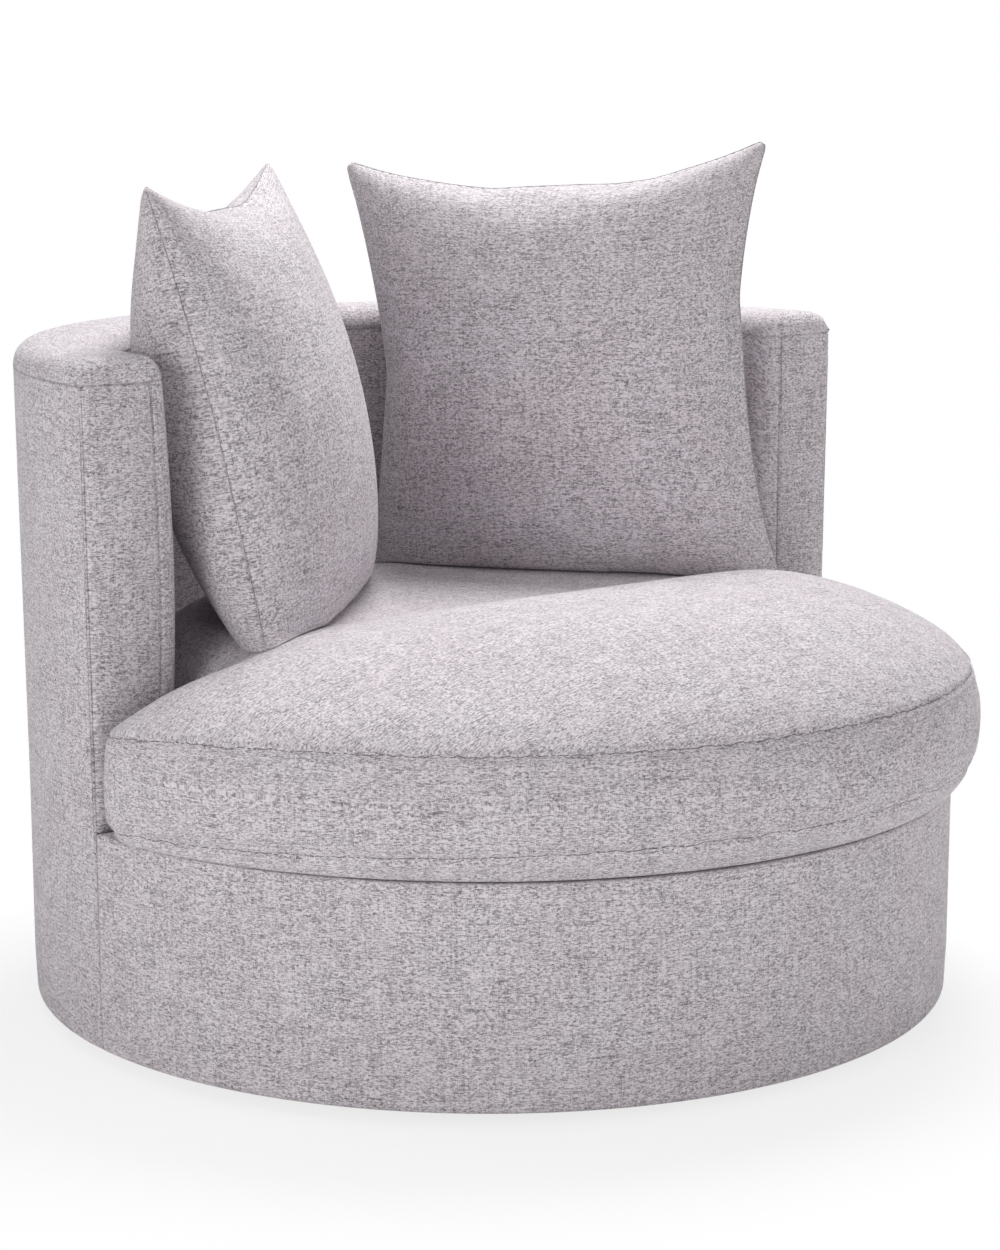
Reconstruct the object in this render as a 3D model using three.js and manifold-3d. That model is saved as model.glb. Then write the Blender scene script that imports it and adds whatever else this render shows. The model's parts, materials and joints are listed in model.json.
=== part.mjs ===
// A round cuddle chair: an upholstered drum with a tub wall round its rear half, a thick seat cushion
// that overhangs the front, two loose scatter cushions, and a hidden swivel base under the drum.
//
// Sizes are in millimetres. The origin is on the floor, on the swivel's axis. +Z is up, and the chair
// faces -Y, so the sitter's left arm is at +X. The tub wall fills the half where y is positive.

import * as THREE from 'three';
import { mergeVertices } from 'three/addons/utils/BufferGeometryUtils.js';
import Module from 'manifold-3d';

const wasm = await Module();
wasm.setup();

// Overall
const drumRadius = 500;
const drumFloorGap = 12;
const deckHeight = 240;
const wallHeight = 713;
const wallThickness = 100;
const wallFlare = 6;
const topRoll = 25;

// Fits between neighbours
const fitGap = 0.3;
const overrun = 40;
const weldShare = 1 / 1000;

// Upholstery layers
const coverThickness = 4;
const drumFoamThickness = 7.5;
const innerFoamThickness = 20;
const armPadding = 8;
const armSeamInset = 25;
const hemWidth = 30;

// Sheet and board
const boardThickness = 3.2;
const plyThickness = 18;
const clothThickness = 2;
const dustClothThickness = 1.2;

// Faces round a full circle, and their step
const roundSegments = 56;
const roundStep = (2 * Math.PI) / roundSegments;
const facetShare = Math.cos(roundStep / 2);

// Floor base
const glideHeight = 6;
const glideRadius = 25;
const glideChamfer = 1.5;
const glideInset = 40;
const glideCount = 5;
const glideSegments = 16;
const plinthShare = 0.58;
const plinthChamfer = 4;

// Swivel bearing
const bearingPlateWidth = 300;
const bearingPlateCorner = 22;
const bearingPlateThickness = 2;
const cornerStep = Math.PI / 4;
const bearingBore = 92;
const raceRadius = 115;
const raceHalfWidth = 11;
const raceHeight = 2.8;
const ballRadius = 4;
const ballCount = 14;
const raceSegments = 2 * ballCount;
const grooveStep = Math.PI / 6;
const cageThickness = 1.6;
const cageHalfWidth = 6;
const bearingGap = 10.8;
const screwInset = 25;
const screwShank = 2.4;
const screwHead = 5;
const screwHeadHeight = 2.4;
const screwHeadSink = 0.5;
const screwLength = 12;
const screwSegments = 8;
const screwHoleStep = Math.PI / 6;

// Drum frame
const bottomBoardThickness = 15;
const skirtHoopWidth = 40;
const drumPostCount = 6;
const drumPostWidth = 38;
const drumPostDepth = 45;
const seatHoopDrop = 15;
const seatHoopWidth = 79;
const railWidth = 30;
const railHeight = 45;

// Seat springs
const springCount = 4;
const springSpacingShare = 0.256;
const springBars = 13;
const springPitchShare = 0.084;
const springBarLength = 14;
const springArch = 8;
const wireRadius = 2;
const wireSides = 5;
const wireSteps = 5;
const tieWireRadius = 1.2;
const tieWireEnd = 33;
const tieWireSides = 6;
const clipStripThickness = 1.5;
const clipStripWidth = 16;
const clipWall = 1.5;
const clipWidth = 12;
const clipStripEnd = 30;
const hookMouth = Math.PI / 4;
const hookFoot = 1.5 * Math.PI;
const hookStep = Math.PI / 6;

// Back frame
const ribCount = 5;
const ribSpread = 35;
const ribWindowWidth = 22;
const ribWindowMargin = 47;
const windowStep = Math.PI / 4;
const midHoopWidth = 29;
const midHoopShare = 0.495;
const topHoopDrop = 40;
const armWindowWidth = 24;
const armWindowShare = 0.5;

// Seat cushion
const seatOverhang = 28;
const seatTubGap = 8;
const seatEarGap = 2;
const seatEarRadius = 70;
const seatEarStep = Math.PI / 12;
const seatUnderside = 32;
const seatUnderInsetShare = 1 / 3;
const seatUnderRiseShare = 1 / 4;
const seatSeamRise = 32;
const seatBoxing = 98;
const seatEarDroop = 26;
const bottomDroopPower = 2;
const topDroopPower = 6;
const seatCrown = 47;
const seatBulge = 2;

// Rings of the seat cushion's crown: each one's inset as a share of the ear radius, its size in plan as
// a share of that outline, and its rise as a share of the crown
const crownShares = [
  [0.11, 1, 0.4],
  [0.33, 1, 0.7],
  [0.7, 1, 0.86],
  [0.7, 0.7, 0.96],
  [0.7, 0.35, 0.99],
];

// Zip of the seat cushion
const zipHeight = 24;
const zipThickness = 1.8;
const zipSpread = 42;

// Scatter cushions
const scatterWidthShare = 0.98;
const scatterThicknessShare = 0.4;
const scatterDrawIn = 27;
const scatterSeam = 5;
const scatterSteps = 12;
const scatterSwellPower = 4;

// Where each scatter cushion stands in plan, as shares of the drum's radius, and its turn, lean and
// roll in degrees
const rightCushionShares = [-0.371, 0.3336];
const rightCushionTurns = [42.1, 11.5, 1];
const leftCushionShares = [0.4407, 0.3052];
const leftCushionTurns = [-55.2, 1.9, 3.2];

// Colours
const cloth = { color: 0xaaa3aa, roughness: 0.95, metalness: 0 };
const timber = { color: 0xc8a878, roughness: 0.8, metalness: 0 };
const hardboard = { color: 0x8a6440, roughness: 0.85, metalness: 0 };
const foam = { color: 0xe8dfc4, roughness: 1, metalness: 0 };
const steel = { color: 0x9a9da0, roughness: 0.4, metalness: 0.9 };
const blackCloth = { color: 0x2a2a2c, roughness: 0.95, metalness: 0 };
const nylon = { color: 0x303034, roughness: 0.6, metalness: 0 };

const degrees = Math.PI / 180;
const chair = new THREE.Group();

// A closed body: vertices welded, collapsed faces dropped, faces turned outwards
function body(geometry) {
  const plain = new THREE.BufferGeometry();
  plain.setAttribute('position', geometry.getAttribute('position').clone());
  if (geometry.index) plain.setIndex(geometry.index.clone());
  const welded = mergeVertices(plain, fitGap * weldShare);
  const index = Array.from(welded.index.array);
  const faces = [];
  for (let i = 0; i < index.length; i += 3) {
    const [a, b, c] = index.slice(i, i + 3);
    if (a !== b && b !== c && c !== a) faces.push([a, b, c]);
  }
  const point = (i) => new THREE.Vector3().fromBufferAttribute(welded.getAttribute('position'), i);
  const volume = faces.reduce((sum, [a, b, c]) => sum + point(a).dot(point(b).cross(point(c))), 0);
  welded.setIndex(faces.flatMap(([a, b, c]) => (volume < 0 ? [a, c, b] : [a, b, c])));
  welded.computeVertexNormals();
  return welded;
}

// Booleans between closed bodies
function toSolid(geometry) {
  const closed = body(geometry);
  return new wasm.Manifold(new wasm.Mesh({
    numProp: 3,
    vertProperties: new Float32Array(closed.getAttribute('position').array),
    triVerts: new Uint32Array(closed.index.array),
  }));
}

function fromSolid(solid) {
  const mesh = solid.getMesh();
  const geometry = new THREE.BufferGeometry();
  geometry.setAttribute('position', new THREE.BufferAttribute(new Float32Array(mesh.vertProperties), 3));
  geometry.setIndex(new THREE.BufferAttribute(new Uint32Array(mesh.triVerts), 1));
  return body(geometry);
}

const join = (...parts) => fromSolid(parts.map(toSolid).reduce((a, b) => a.add(b)));
const cut = (base, ...tools) => fromSolid(tools.map(toSolid).reduce((a, b) => a.subtract(b), toSolid(base)));
const common = (a, b) => fromSolid(toSolid(a).intersect(toSolid(b)));

// A block between two corners
function block(low, high) {
  const size = high.map((value, i) => value - low[i]);
  const box = new THREE.BoxGeometry(...size);
  box.translate(...high.map((value, i) => (value + low[i]) / 2));
  return body(box);
}

// The part of a body on one side of a plane
const reach = 2 * (drumRadius + wallHeight);
const behind = (solid, y) => common(solid, block([-reach, y, -reach], [reach, reach, reach]));
const inFront = (solid, y) => common(solid, block([-reach, -reach, -reach], [reach, y, reach]));
const rightOf = (solid, x) => common(solid, block([x, -reach, -reach], [reach, reach, reach]));
const leftOf = (solid, x) => common(solid, block([-reach, -reach, -reach], [x, reach, reach]));
const above = (solid, z) => common(solid, block([-reach, -reach, z], [reach, reach, reach]));
const below = (solid, z) => common(solid, block([-reach, -reach, -reach], [reach, reach, z]));
const mirrored = (solid) => body(solid.clone().scale(-1, 1, 1));

// A ring or disc: the closed outline [radius, height] turned round the chair's axis
function turned(outline, segments = roundSegments) {
  const points = [...outline, outline[0]].map(([r, z]) => new THREE.Vector2(r, z));
  return body(new THREE.LatheGeometry(points, segments).rotateX(Math.PI / 2));
}

const hoop = (inner, outer, low, high) => turned([[inner, low], [outer, low], [outer, high], [inner, high]]);

// An outline in plan, extruded upwards
function slab(points, low, high, holes = []) {
  const shape = new THREE.Shape(points.map(([x, y]) => new THREE.Vector2(x, y)));
  shape.holes = holes.map((hole) => new THREE.Path(hole.map(([x, y]) => new THREE.Vector2(x, y))));
  const geometry = new THREE.ExtrudeGeometry(shape, { depth: high - low, bevelEnabled: false });
  return body(geometry.translate(0, 0, low));
}

// An outline [across, height] in the vertical plane y = front, extruded backwards
function upright(points, front, back, holes = []) {
  return body(slab(points, 0, back - front, holes).rotateX(Math.PI / 2).translate(0, back, 0));
}

// Points along an arc, on steps of the full circle's facets when the step isn't given
function arc(x, y, radius, from, to, step = roundStep) {
  const count = Math.max(1, Math.round(Math.abs(to - from) / step));
  return Array.from({ length: count + 1 }, (_, i) => {
    const angle = from + ((to - from) * i) / count;
    return [x + radius * Math.cos(angle), y + radius * Math.sin(angle)];
  });
}

const circle = (x, y, radius, step) => arc(x, y, radius, 0, 2 * Math.PI, step).slice(1);

// A point on a circle, counted from the front, anticlockwise seen from above
const around = (radius, angle) => [radius * Math.sin(angle), -radius * Math.cos(angle)];

// How far out a flat piece may reach inside a faceted cylinder without touching it
function flatReach(radius, halfWidth) {
  return Math.sqrt((radius * facetShare) ** 2 - halfWidth ** 2) - fitGap;
}

function add(name, geometry, look) {
  const mesh = new THREE.Mesh(geometry, new THREE.MeshStandardMaterial(look));
  mesh.name = name;
  chair.add(mesh);
  return mesh;
}

// Radii of the layers, from the outside in
const coverInside = drumRadius - coverThickness;
const foamOutside = coverInside - fitGap;
const foamInside = foamOutside - drumFoamThickness;
const boardOutside = foamInside - fitGap;
const boardInside = boardOutside - boardThickness;
const frameOutside = boardInside - fitGap;

// Radii of the layers of the tub, from the sitter outwards
const tubRadius = drumRadius - wallThickness;
const tubCoverOutside = tubRadius + coverThickness;
const tubFoamInside = tubCoverOutside + fitGap;
const tubFoamOutside = tubFoamInside + innerFoamThickness;
const tubBoardInside = tubFoamOutside + fitGap;
const tubBoardOutside = tubBoardInside + boardThickness;
const frameInside = tubBoardOutside + fitGap;

// Floor base in plan
const plinthRadius = drumRadius * plinthShare;
const glideCircle = plinthRadius - glideInset;

// Heights
const plinthLow = glideHeight + fitGap;
const plinthHigh = plinthLow + plyThickness;
const lowerPlateLow = plinthHigh + fitGap;
const lowerPlateHigh = lowerPlateLow + bearingPlateThickness;
const upperPlateLow = lowerPlateHigh + bearingGap;
const upperPlateHigh = upperPlateLow + bearingPlateThickness;
const ballHeight = (lowerPlateHigh + upperPlateLow) / 2;
const bottomBoardLow = upperPlateHigh + fitGap;
const bottomBoardHigh = bottomBoardLow + bottomBoardThickness;
const hemTop = drumFloorGap + coverThickness;
const seatHoopTop = deckHeight - seatHoopDrop;
const seatHoopLow = seatHoopTop - plyThickness;
const clothLow = seatHoopTop + fitGap;
const clothHigh = clothLow + clothThickness;
const deckLow = clothHigh + fitGap;
const topHoopHigh = wallHeight - topHoopDrop;
const topHoopLow = topHoopHigh - plyThickness;
const midHoopLow = seatHoopTop + (topHoopLow - seatHoopTop) * midHoopShare;
const midHoopHigh = midHoopLow + plyThickness;

const screwCentre = bearingPlateWidth / 2 - screwInset;
const screwPlaces = [[1, 1], [-1, 1], [-1, -1], [1, -1]].map(([x, y]) => [x * screwCentre, y * screwCentre]);
const screwHoles = screwPlaces.map(([x, y]) => circle(x, y, screwShank + fitGap, screwHoleStep));

// Floor base
function glide() {
  return turned([
    [0, 0],
    [glideRadius - glideChamfer, 0],
    [glideRadius, glideChamfer],
    [glideRadius, glideHeight],
    [0, glideHeight],
  ], glideSegments);
}

function plinth() {
  const disc = turned([
    [0, plinthLow],
    [plinthRadius, plinthLow],
    [plinthRadius, plinthHigh - plinthChamfer],
    [plinthRadius - plinthChamfer, plinthHigh],
    [0, plinthHigh],
  ], roundSegments / 2);
  return cut(disc, ...screwHoles.map((hole) => slab(hole, plinthLow - overrun, plinthHigh + overrun)));
}

// A screw on the axis, its head on the given side of z = seat and its point on the other
function screw(seat, side) {
  return turned([
    [0, seat + side * screwHeadHeight],
    [screwHead, seat + side * screwHeadHeight],
    [screwHead, seat],
    [screwShank, seat],
    [screwShank, seat - side * (screwLength - screwShank)],
    [0, seat - side * screwLength],
  ], screwSegments);
}

// The balls stand over the middles of the lower race's facets. The upper race turns over them, so its
// groove is wider by the height of a facet's arc.
const raceFacetShare = Math.cos(Math.PI / raceSegments);
const ballCircle = raceRadius * raceFacetShare;
const lowerGroove = ballRadius + fitGap;
const upperGroove = lowerGroove + raceRadius - ballCircle;

// One pressed plate of the bearing with its raised ball race and its four screws. side is 1 for the
// plate below the balls, whose screws point down, and -1 for the one above.
function bearingPlate(low, side, groove) {
  const half = bearingPlateWidth / 2;
  const flat = half - bearingPlateCorner;
  const corners = [[1, 1], [-1, 1], [-1, -1], [1, -1]];
  const outline = corners.flatMap(([x, y], i) => arc(
    x * flat,
    y * flat,
    bearingPlateCorner,
    (i * Math.PI) / 2,
    ((i + 1) * Math.PI) / 2,
    cornerStep,
  ));
  const plate = slab(outline, low, low + bearingPlateThickness, [circle(0, 0, bearingBore, 2 * roundStep)]);
  const face = side > 0 ? low + bearingPlateThickness : low;
  const rim = face + side * raceHeight;
  const root = face - (side * bearingPlateThickness) / 2;
  const dip = Math.asin((side * (ballHeight - rim)) / groove);
  const seat = face - side * screwHeadSink;
  const race = turned([
    [raceRadius - raceHalfWidth, root],
    [raceRadius + raceHalfWidth, root],
    [raceRadius + raceHalfWidth, rim],
    ...arc(raceRadius, ballHeight, groove, -side * dip, -side * (Math.PI - dip), grooveStep),
    [raceRadius - raceHalfWidth, rim],
  ], raceSegments);
  return join(plate, race, ...screwPlaces.map(([x, y]) => screw(seat, side).translate(x, y, 0)));
}

// The balls, held in a thin ring
function ballCage() {
  const ring = turned([
    [raceRadius - cageHalfWidth, ballHeight - cageThickness / 2],
    [raceRadius + cageHalfWidth, ballHeight - cageThickness / 2],
    [raceRadius + cageHalfWidth, ballHeight + cageThickness / 2],
    [raceRadius - cageHalfWidth, ballHeight + cageThickness / 2],
  ], raceSegments);
  const balls = Array.from({ length: ballCount }, (_, i) => {
    const [x, y] = around(ballCircle, (2 * Math.PI * (2 * i + 1 / 2)) / raceSegments);
    return new THREE.OctahedronGeometry(ballRadius, 1).translate(x, y, ballHeight);
  });
  return join(ring, ...balls);
}

function addFloorBase() {
  add('centre_glide', glide(), nylon);
  for (let i = 0; i < glideCount; i += 1) {
    const mesh = add(`glide_${i + 1}`, glide(), nylon);
    mesh.position.set(...around(glideCircle, (2 * Math.PI * i) / glideCount), 0);
  }
  add('plinth_board', plinth(), timber);
  add('bearing_lower_plate', bearingPlate(lowerPlateLow, 1, lowerGroove), steel);
  add('bearing_ball_cage', ballCage(), steel);
}

// Drum frame
function bottomBoard() {
  const holes = [circle(0, 0, bearingBore, 2 * roundStep), ...screwHoles];
  return slab(circle(0, 0, frameOutside), bottomBoardLow, bottomBoardHigh, holes);
}

// A post at the front, its outer face against the wrap board
function drumPost() {
  const outer = flatReach(boardInside, drumPostWidth / 2);
  return block(
    [-drumPostWidth / 2, -outer, bottomBoardHigh + fitGap],
    [drumPostWidth / 2, drumPostDepth - outer, seatHoopLow - fitGap],
  );
}

function addDrumFrame() {
  add('bearing_upper_plate', bearingPlate(upperPlateLow, -1, upperGroove), steel);
  add('bottom_board', bottomBoard(), timber);
  const skirtInside = frameOutside - skirtHoopWidth;
  add('skirt_hoop', hoop(skirtInside, frameOutside, hemTop + fitGap, bottomBoardLow - fitGap), timber);
  const dustInside = Math.hypot(bearingPlateWidth / 2, bearingPlateWidth / 2) + fitGap;
  const dustHigh = bottomBoardLow - fitGap;
  const dust = hoop(dustInside, skirtInside - fitGap, dustHigh - dustClothThickness, dustHigh);
  add('dust_cover', dust, blackCloth);
  for (let i = 0; i < drumPostCount; i += 1) {
    add(`drum_post_${i + 1}`, drumPost(), timber).rotation.z = (2 * Math.PI * (i + 1 / 2)) / drumPostCount;
  }
  add('seat_hoop', hoop(frameOutside - seatHoopWidth, frameOutside, seatHoopLow, seatHoopTop), timber);
  add('drum_wrap_board', hoop(boardInside, boardOutside, hemTop + fitGap, seatHoopTop), hardboard);
}

// Seat springs: straight bars across the seat, joined at alternate ends by half circles
const springPitch = drumRadius * springPitchShare;
const springSpan = (springBars - 1) * springPitch;
const springSpacing = drumRadius * springSpacingShare;
const bendLength = (Math.PI * springPitch) / 2;
const stripLow = seatHoopLow;
const stripHigh = stripLow + clipStripThickness;
const wireHeight = stripHigh + fitGap + wireRadius;

class SinuousWire extends THREE.Curve {
  getPoint(share, target = new THREE.Vector3()) {
    const total = springBars * springBarLength + (springBars - 1) * bendLength;
    const along = share * total;
    const bar = Math.min(Math.floor(along / (springBarLength + bendLength)), springBars - 1);
    const rest = along - bar * (springBarLength + bendLength);
    const side = bar % 2 === 0 ? 1 : -1;
    const radius = springPitch / 2;
    const bend = Math.max(0, rest - springBarLength) / radius;
    const x = side * (Math.min(rest, springBarLength) - springBarLength / 2 + radius * Math.sin(bend));
    const y = bar * springPitch + radius * (1 - Math.cos(bend)) - springSpan / 2;
    return target.set(x, y, wireHeight + springArch * (1 - (2 * y / springSpan) ** 2));
  }
}

function seatSpring() {
  const wire = new SinuousWire();
  const steps = wireSteps * springBars;
  wire.arcLengthDivisions = 2 * steps;
  const points = circle(0, 0, wireRadius, (2 * Math.PI) / wireSides);
  const section = new THREE.Shape(points.map(([x, y]) => new THREE.Vector2(x, y)));
  return body(new THREE.ExtrudeGeometry(section, { steps, bevelEnabled: false, extrudePath: wire }));
}

// An outline [forward, height] extruded across the chair between two values of x
function crosswise(points, left, right) {
  return body(slab(points, left, right).rotateX(Math.PI / 2).rotateZ(Math.PI / 2));
}

const springPlaces = Array.from(
  { length: springCount },
  (_, i) => (i - (springCount - 1) / 2) * springSpacing,
);

// A strip nailed to a rail, with a curled hook round the last bar of each spring. side is -1 in front.
function clipStrip(side) {
  const railY = (side * springSpan) / 2;
  const end = springPlaces[springCount - 1] + clipStripEnd;
  const strip = block(
    [-end, railY - clipStripWidth / 2, stripLow],
    [end, railY + clipStripWidth / 2, stripHigh],
  );
  const mouth = side < 0 ? hookMouth : Math.PI - hookMouth;
  const foot = side < 0 ? hookFoot : Math.PI - hookFoot;
  const outer = arc(0, wireHeight, wireRadius + fitGap + clipWall, mouth, foot, hookStep);
  const inner = arc(0, wireHeight, wireRadius + fitGap, foot, mouth, hookStep);
  const outline = [...outer, ...inner].map(([y, z]) => [y + railY, z]);
  const hooks = springPlaces.map((x) => crosswise(outline, x - clipWidth / 2, x + clipWidth / 2));
  return join(strip, ...hooks);
}

function springRail(side) {
  const centre = (side * springSpan) / 2;
  const end = flatReach(boardInside, springSpan / 2 + railWidth / 2);
  return block(
    [-end, centre - railWidth / 2, seatHoopLow - fitGap - railHeight],
    [end, centre + railWidth / 2, seatHoopLow - fitGap],
  );
}

function addSuspension() {
  add('front_spring_rail', springRail(-1), timber);
  add('rear_spring_rail', springRail(1), timber);
  add('front_clip_strip', clipStrip(-1), steel);
  add('rear_clip_strip', clipStrip(1), steel);
  springPlaces.forEach((x, i) => {
    add(`seat_spring_${i + 1}`, seatSpring(), steel).position.x = x;
  });
  const tieHeight = wireHeight + springArch + wireRadius + fitGap + tieWireRadius;
  const tieLength = springPlaces[springCount - 1] - springPlaces[0] + 2 * tieWireEnd;
  const tie = new THREE.CylinderGeometry(tieWireRadius, tieWireRadius, tieLength, tieWireSides);
  add('spring_tie_wire', body(tie.rotateZ(Math.PI / 2).translate(0, 0, tieHeight)), steel);
  add('deck_cloth', turned([
    [0, clothLow],
    [tubBoardInside - fitGap, clothLow],
    [tubBoardInside - fitGap, clothHigh],
    [0, clothHigh],
  ]), blackCloth);
  const frontPad = inFront(hoop(0, foamOutside, deckLow, deckHeight), -fitGap);
  const tubPad = hoop(0, tubRadius - fitGap, deckLow, deckHeight);
  add('deck_pad', join(frontPad, tubPad), cloth);
}

// Back frame
const armBoardFront = armPadding + fitGap;
const armBoardBack = armBoardFront + plyThickness;

// A round-ended window, by its middle, width and height
function slot(x, z, width, height) {
  const radius = width / 2;
  return [
    ...arc(x, z + height / 2 - radius, radius, 0, Math.PI, windowStep),
    ...arc(x, z - height / 2 + radius, radius, Math.PI, 2 * Math.PI, windowStep),
  ];
}

// An upright rib, notched over the mid hoop and windowed above and below it
function backRib() {
  const outer = flatReach(boardInside, plyThickness / 2);
  const notch = (frameOutside - midHoopWidth) * facetShare - fitGap;
  const outline = [
    [frameInside, seatHoopTop + fitGap],
    [outer, seatHoopTop + fitGap],
    [outer, midHoopLow - fitGap],
    [notch, midHoopLow - fitGap],
    [notch, midHoopHigh + fitGap],
    [outer, midHoopHigh + fitGap],
    [outer, topHoopLow - fitGap],
    [frameInside, topHoopLow - fitGap],
  ];
  const bays = [[seatHoopTop, midHoopLow], [midHoopHigh, topHoopLow]];
  const windows = bays.map(([low, high]) => slot(
    (frameInside + outer) / 2,
    (low + high) / 2,
    ribWindowWidth,
    high - low - 2 * ribWindowMargin,
  ));
  return upright(outline, -plyThickness / 2, plyThickness / 2, windows);
}

function armBoard() {
  const outer = flatReach(boardInside, armBoardBack);
  const low = seatHoopTop + fitGap;
  const high = topHoopLow - fitGap;
  const outline = [[frameInside, low], [outer, low], [outer, high], [frameInside, high]];
  const windowHeight = (high - low) * armWindowShare;
  const window = slot((frameInside + outer) / 2, (low + high) / 2, armWindowWidth, windowHeight);
  return upright(outline, armBoardFront, armBoardBack, [window]);
}

function addBackFrame() {
  for (let i = 0; i < ribCount; i += 1) {
    const angle = Math.PI + (i - (ribCount - 1) / 2) * ribSpread * degrees;
    add(`back_rib_${i + 1}`, backRib(), timber).rotation.z = angle - Math.PI / 2;
  }
  add('right_arm_board', mirrored(armBoard()), timber);
  add('left_arm_board', armBoard(), timber);
  const midHoop = hoop(frameOutside - midHoopWidth, frameOutside, midHoopLow, midHoopHigh);
  add('mid_hoop', behind(midHoop, armBoardBack + fitGap), timber);
  add('top_hoop', behind(hoop(tubBoardInside, boardOutside, topHoopLow, topHoopHigh), armBoardFront), timber);
  const foot = seatHoopTop + fitGap;
  const innerBoard = hoop(tubBoardInside, tubBoardOutside, foot, topHoopLow - fitGap);
  add('inner_back_board', behind(innerBoard, armBoardFront), hardboard);
  const outerBoard = hoop(boardInside, boardOutside, foot, topHoopLow - fitGap);
  add('outer_back_board', behind(outerBoard, armBoardFront), hardboard);
}

// Padding and covers
const padInset = coverThickness + fitGap;
const rollStep = Math.PI / 6;
const bandSeam = wallHeight - topRoll;

const innerRollArc = (inset) => arc(
  tubRadius + topRoll, bandSeam, topRoll - inset, Math.PI, Math.PI / 2, rollStep,
);
const outerRollArc = (inset) => arc(
  drumRadius + wallFlare - topRoll, bandSeam, topRoll - inset, Math.PI / 2, 0, rollStep,
);

// The wall's section [radius, height] above the given height, set in from the fabric's face
function wallSection(inset, low) {
  const lean = (wallFlare * Math.max(0, low - deckHeight)) / (bandSeam - deckHeight);
  return [
    [tubRadius + inset, low],
    ...innerRollArc(inset),
    ...outerRollArc(inset),
    [drumRadius + lean - inset, low],
  ];
}

function outerBackFoam() {
  const lean = (wallFlare * (topHoopHigh - deckHeight)) / (bandSeam - deckHeight);
  return behind(turned([
    [foamInside, hemTop + fitGap],
    [foamOutside, hemTop + fitGap],
    [foamOutside, deckHeight],
    [foamOutside + lean, topHoopHigh],
    [foamInside, topHoopHigh],
  ]), armBoardFront);
}

// The outer fabric with its hem turned in under the drum, closed at the top by the given points
function skin(topOutline) {
  const hemInside = drumRadius - hemWidth;
  return turned([
    [hemInside, drumFloorGap],
    [drumRadius - coverThickness, drumFloorGap],
    [drumRadius, hemTop],
    ...topOutline,
    [coverInside, hemTop],
    [hemInside, hemTop],
  ]);
}

// The padded front of the left arm, to the given depth, set in from the fabric's face
function armEnd(depth, inset) {
  const wall = turned(wallSection(inset, deckHeight));
  return rightOf(inFront(behind(wall, 0), depth), 0);
}

// The inner back cover, carried round both arm ends as far as the arm seam
function innerBackCover() {
  const wall = behind(hoop(tubRadius, tubCoverOutside, deckLow, wallHeight), 0);
  const edge = tubRadius + armSeamInset;
  const face = leftOf(armEnd(coverThickness, padInset), edge);
  const fold = block(
    [tubRadius + coverThickness / 2, 0, deckHeight],
    [tubFoamInside + coverThickness / 2, coverThickness, wallHeight],
  );
  const turnedEnd = join(fold, face);
  return below(join(wall, turnedEnd, mirrored(turnedEnd)), bandSeam - fitGap);
}

function addCovers() {
  const drumFoam = hoop(foamInside, foamOutside, hemTop + fitGap, deckLow - fitGap);
  add('drum_foam', inFront(drumFoam, armPadding), foam);
  add('outer_back_foam', outerBackFoam(), foam);
  const innerFoam = hoop(tubFoamInside, tubFoamOutside, deckLow, topHoopHigh);
  add('inner_back_foam', behind(innerFoam, armBoardFront), foam);
  add('top_foam', behind(turned(wallSection(padInset, topHoopHigh + fitGap)), armBoardFront), foam);
  const drumTop = [[drumRadius, deckHeight], [coverInside, deckHeight]];
  add('drum_cover', inFront(skin(drumTop), -fitGap), cloth);
  const wallTop = [
    [drumRadius, deckHeight],
    [drumRadius + wallFlare, bandSeam - fitGap],
    [coverInside + wallFlare, bandSeam - fitGap],
    [coverInside, deckHeight],
  ];
  add('outer_back_cover', behind(skin(wallTop), 0), cloth);
  add('inner_back_cover', innerBackCover(), cloth);
  const band = [
    ...innerRollArc(0),
    ...outerRollArc(0),
    ...outerRollArc(coverThickness).reverse(),
    ...innerRollArc(coverThickness).reverse(),
  ];
  const lip = above(armEnd(armPadding, 0), bandSeam);
  add('top_band', join(behind(turned(band), 0), lip, mirrored(lip)), cloth);
  const armFront = rightOf(armEnd(armPadding, padInset), tubRadius + armSeamInset + fitGap);
  const armPanel = below(armFront, bandSeam - fitGap);
  add('left_arm_panel', armPanel, cloth);
  add('right_arm_panel', mirrored(armPanel), cloth);
}

// Seat cushion
const seatFront = drumRadius + seatOverhang;
const seatSeamHeight = deckHeight + seatSeamRise;

// Its outline in plan, set in by the given amount: a round back inside the tub, two ears in front of
// the arm ends, and a round front that overhangs the drum.
function seatOutline(inset) {
  const notch = -seatEarGap - inset;
  const back = tubRadius - seatTubGap - inset;
  const earY = -seatEarGap - seatEarRadius;
  const earX = Math.sqrt((seatFront - seatEarRadius) ** 2 - earY ** 2);
  const turn = Math.asin(-earY / (seatFront - seatEarRadius));
  const ear = arc(earX, earY, seatEarRadius - inset, -turn, Math.PI / 2, seatEarStep);
  const flip = ([x, y]) => [-x, y];
  return [
    ...arc(0, 0, back, 0, Math.PI),
    [-back, notch],
    ...ear.map(flip).reverse(),
    ...arc(0, 0, seatFront - inset, Math.PI + turn, 2 * Math.PI - turn).slice(1, -1),
    ...ear,
    [back, notch],
  ];
}

// How far a seam has dropped at a point of the outline: nothing in front, all of it at the ears
function droop([x, y], power) {
  const share = Math.min(1, Math.abs(Math.atan2(x, -y)) / (Math.PI / 2));
  return seatEarDroop * share ** power;
}

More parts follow.
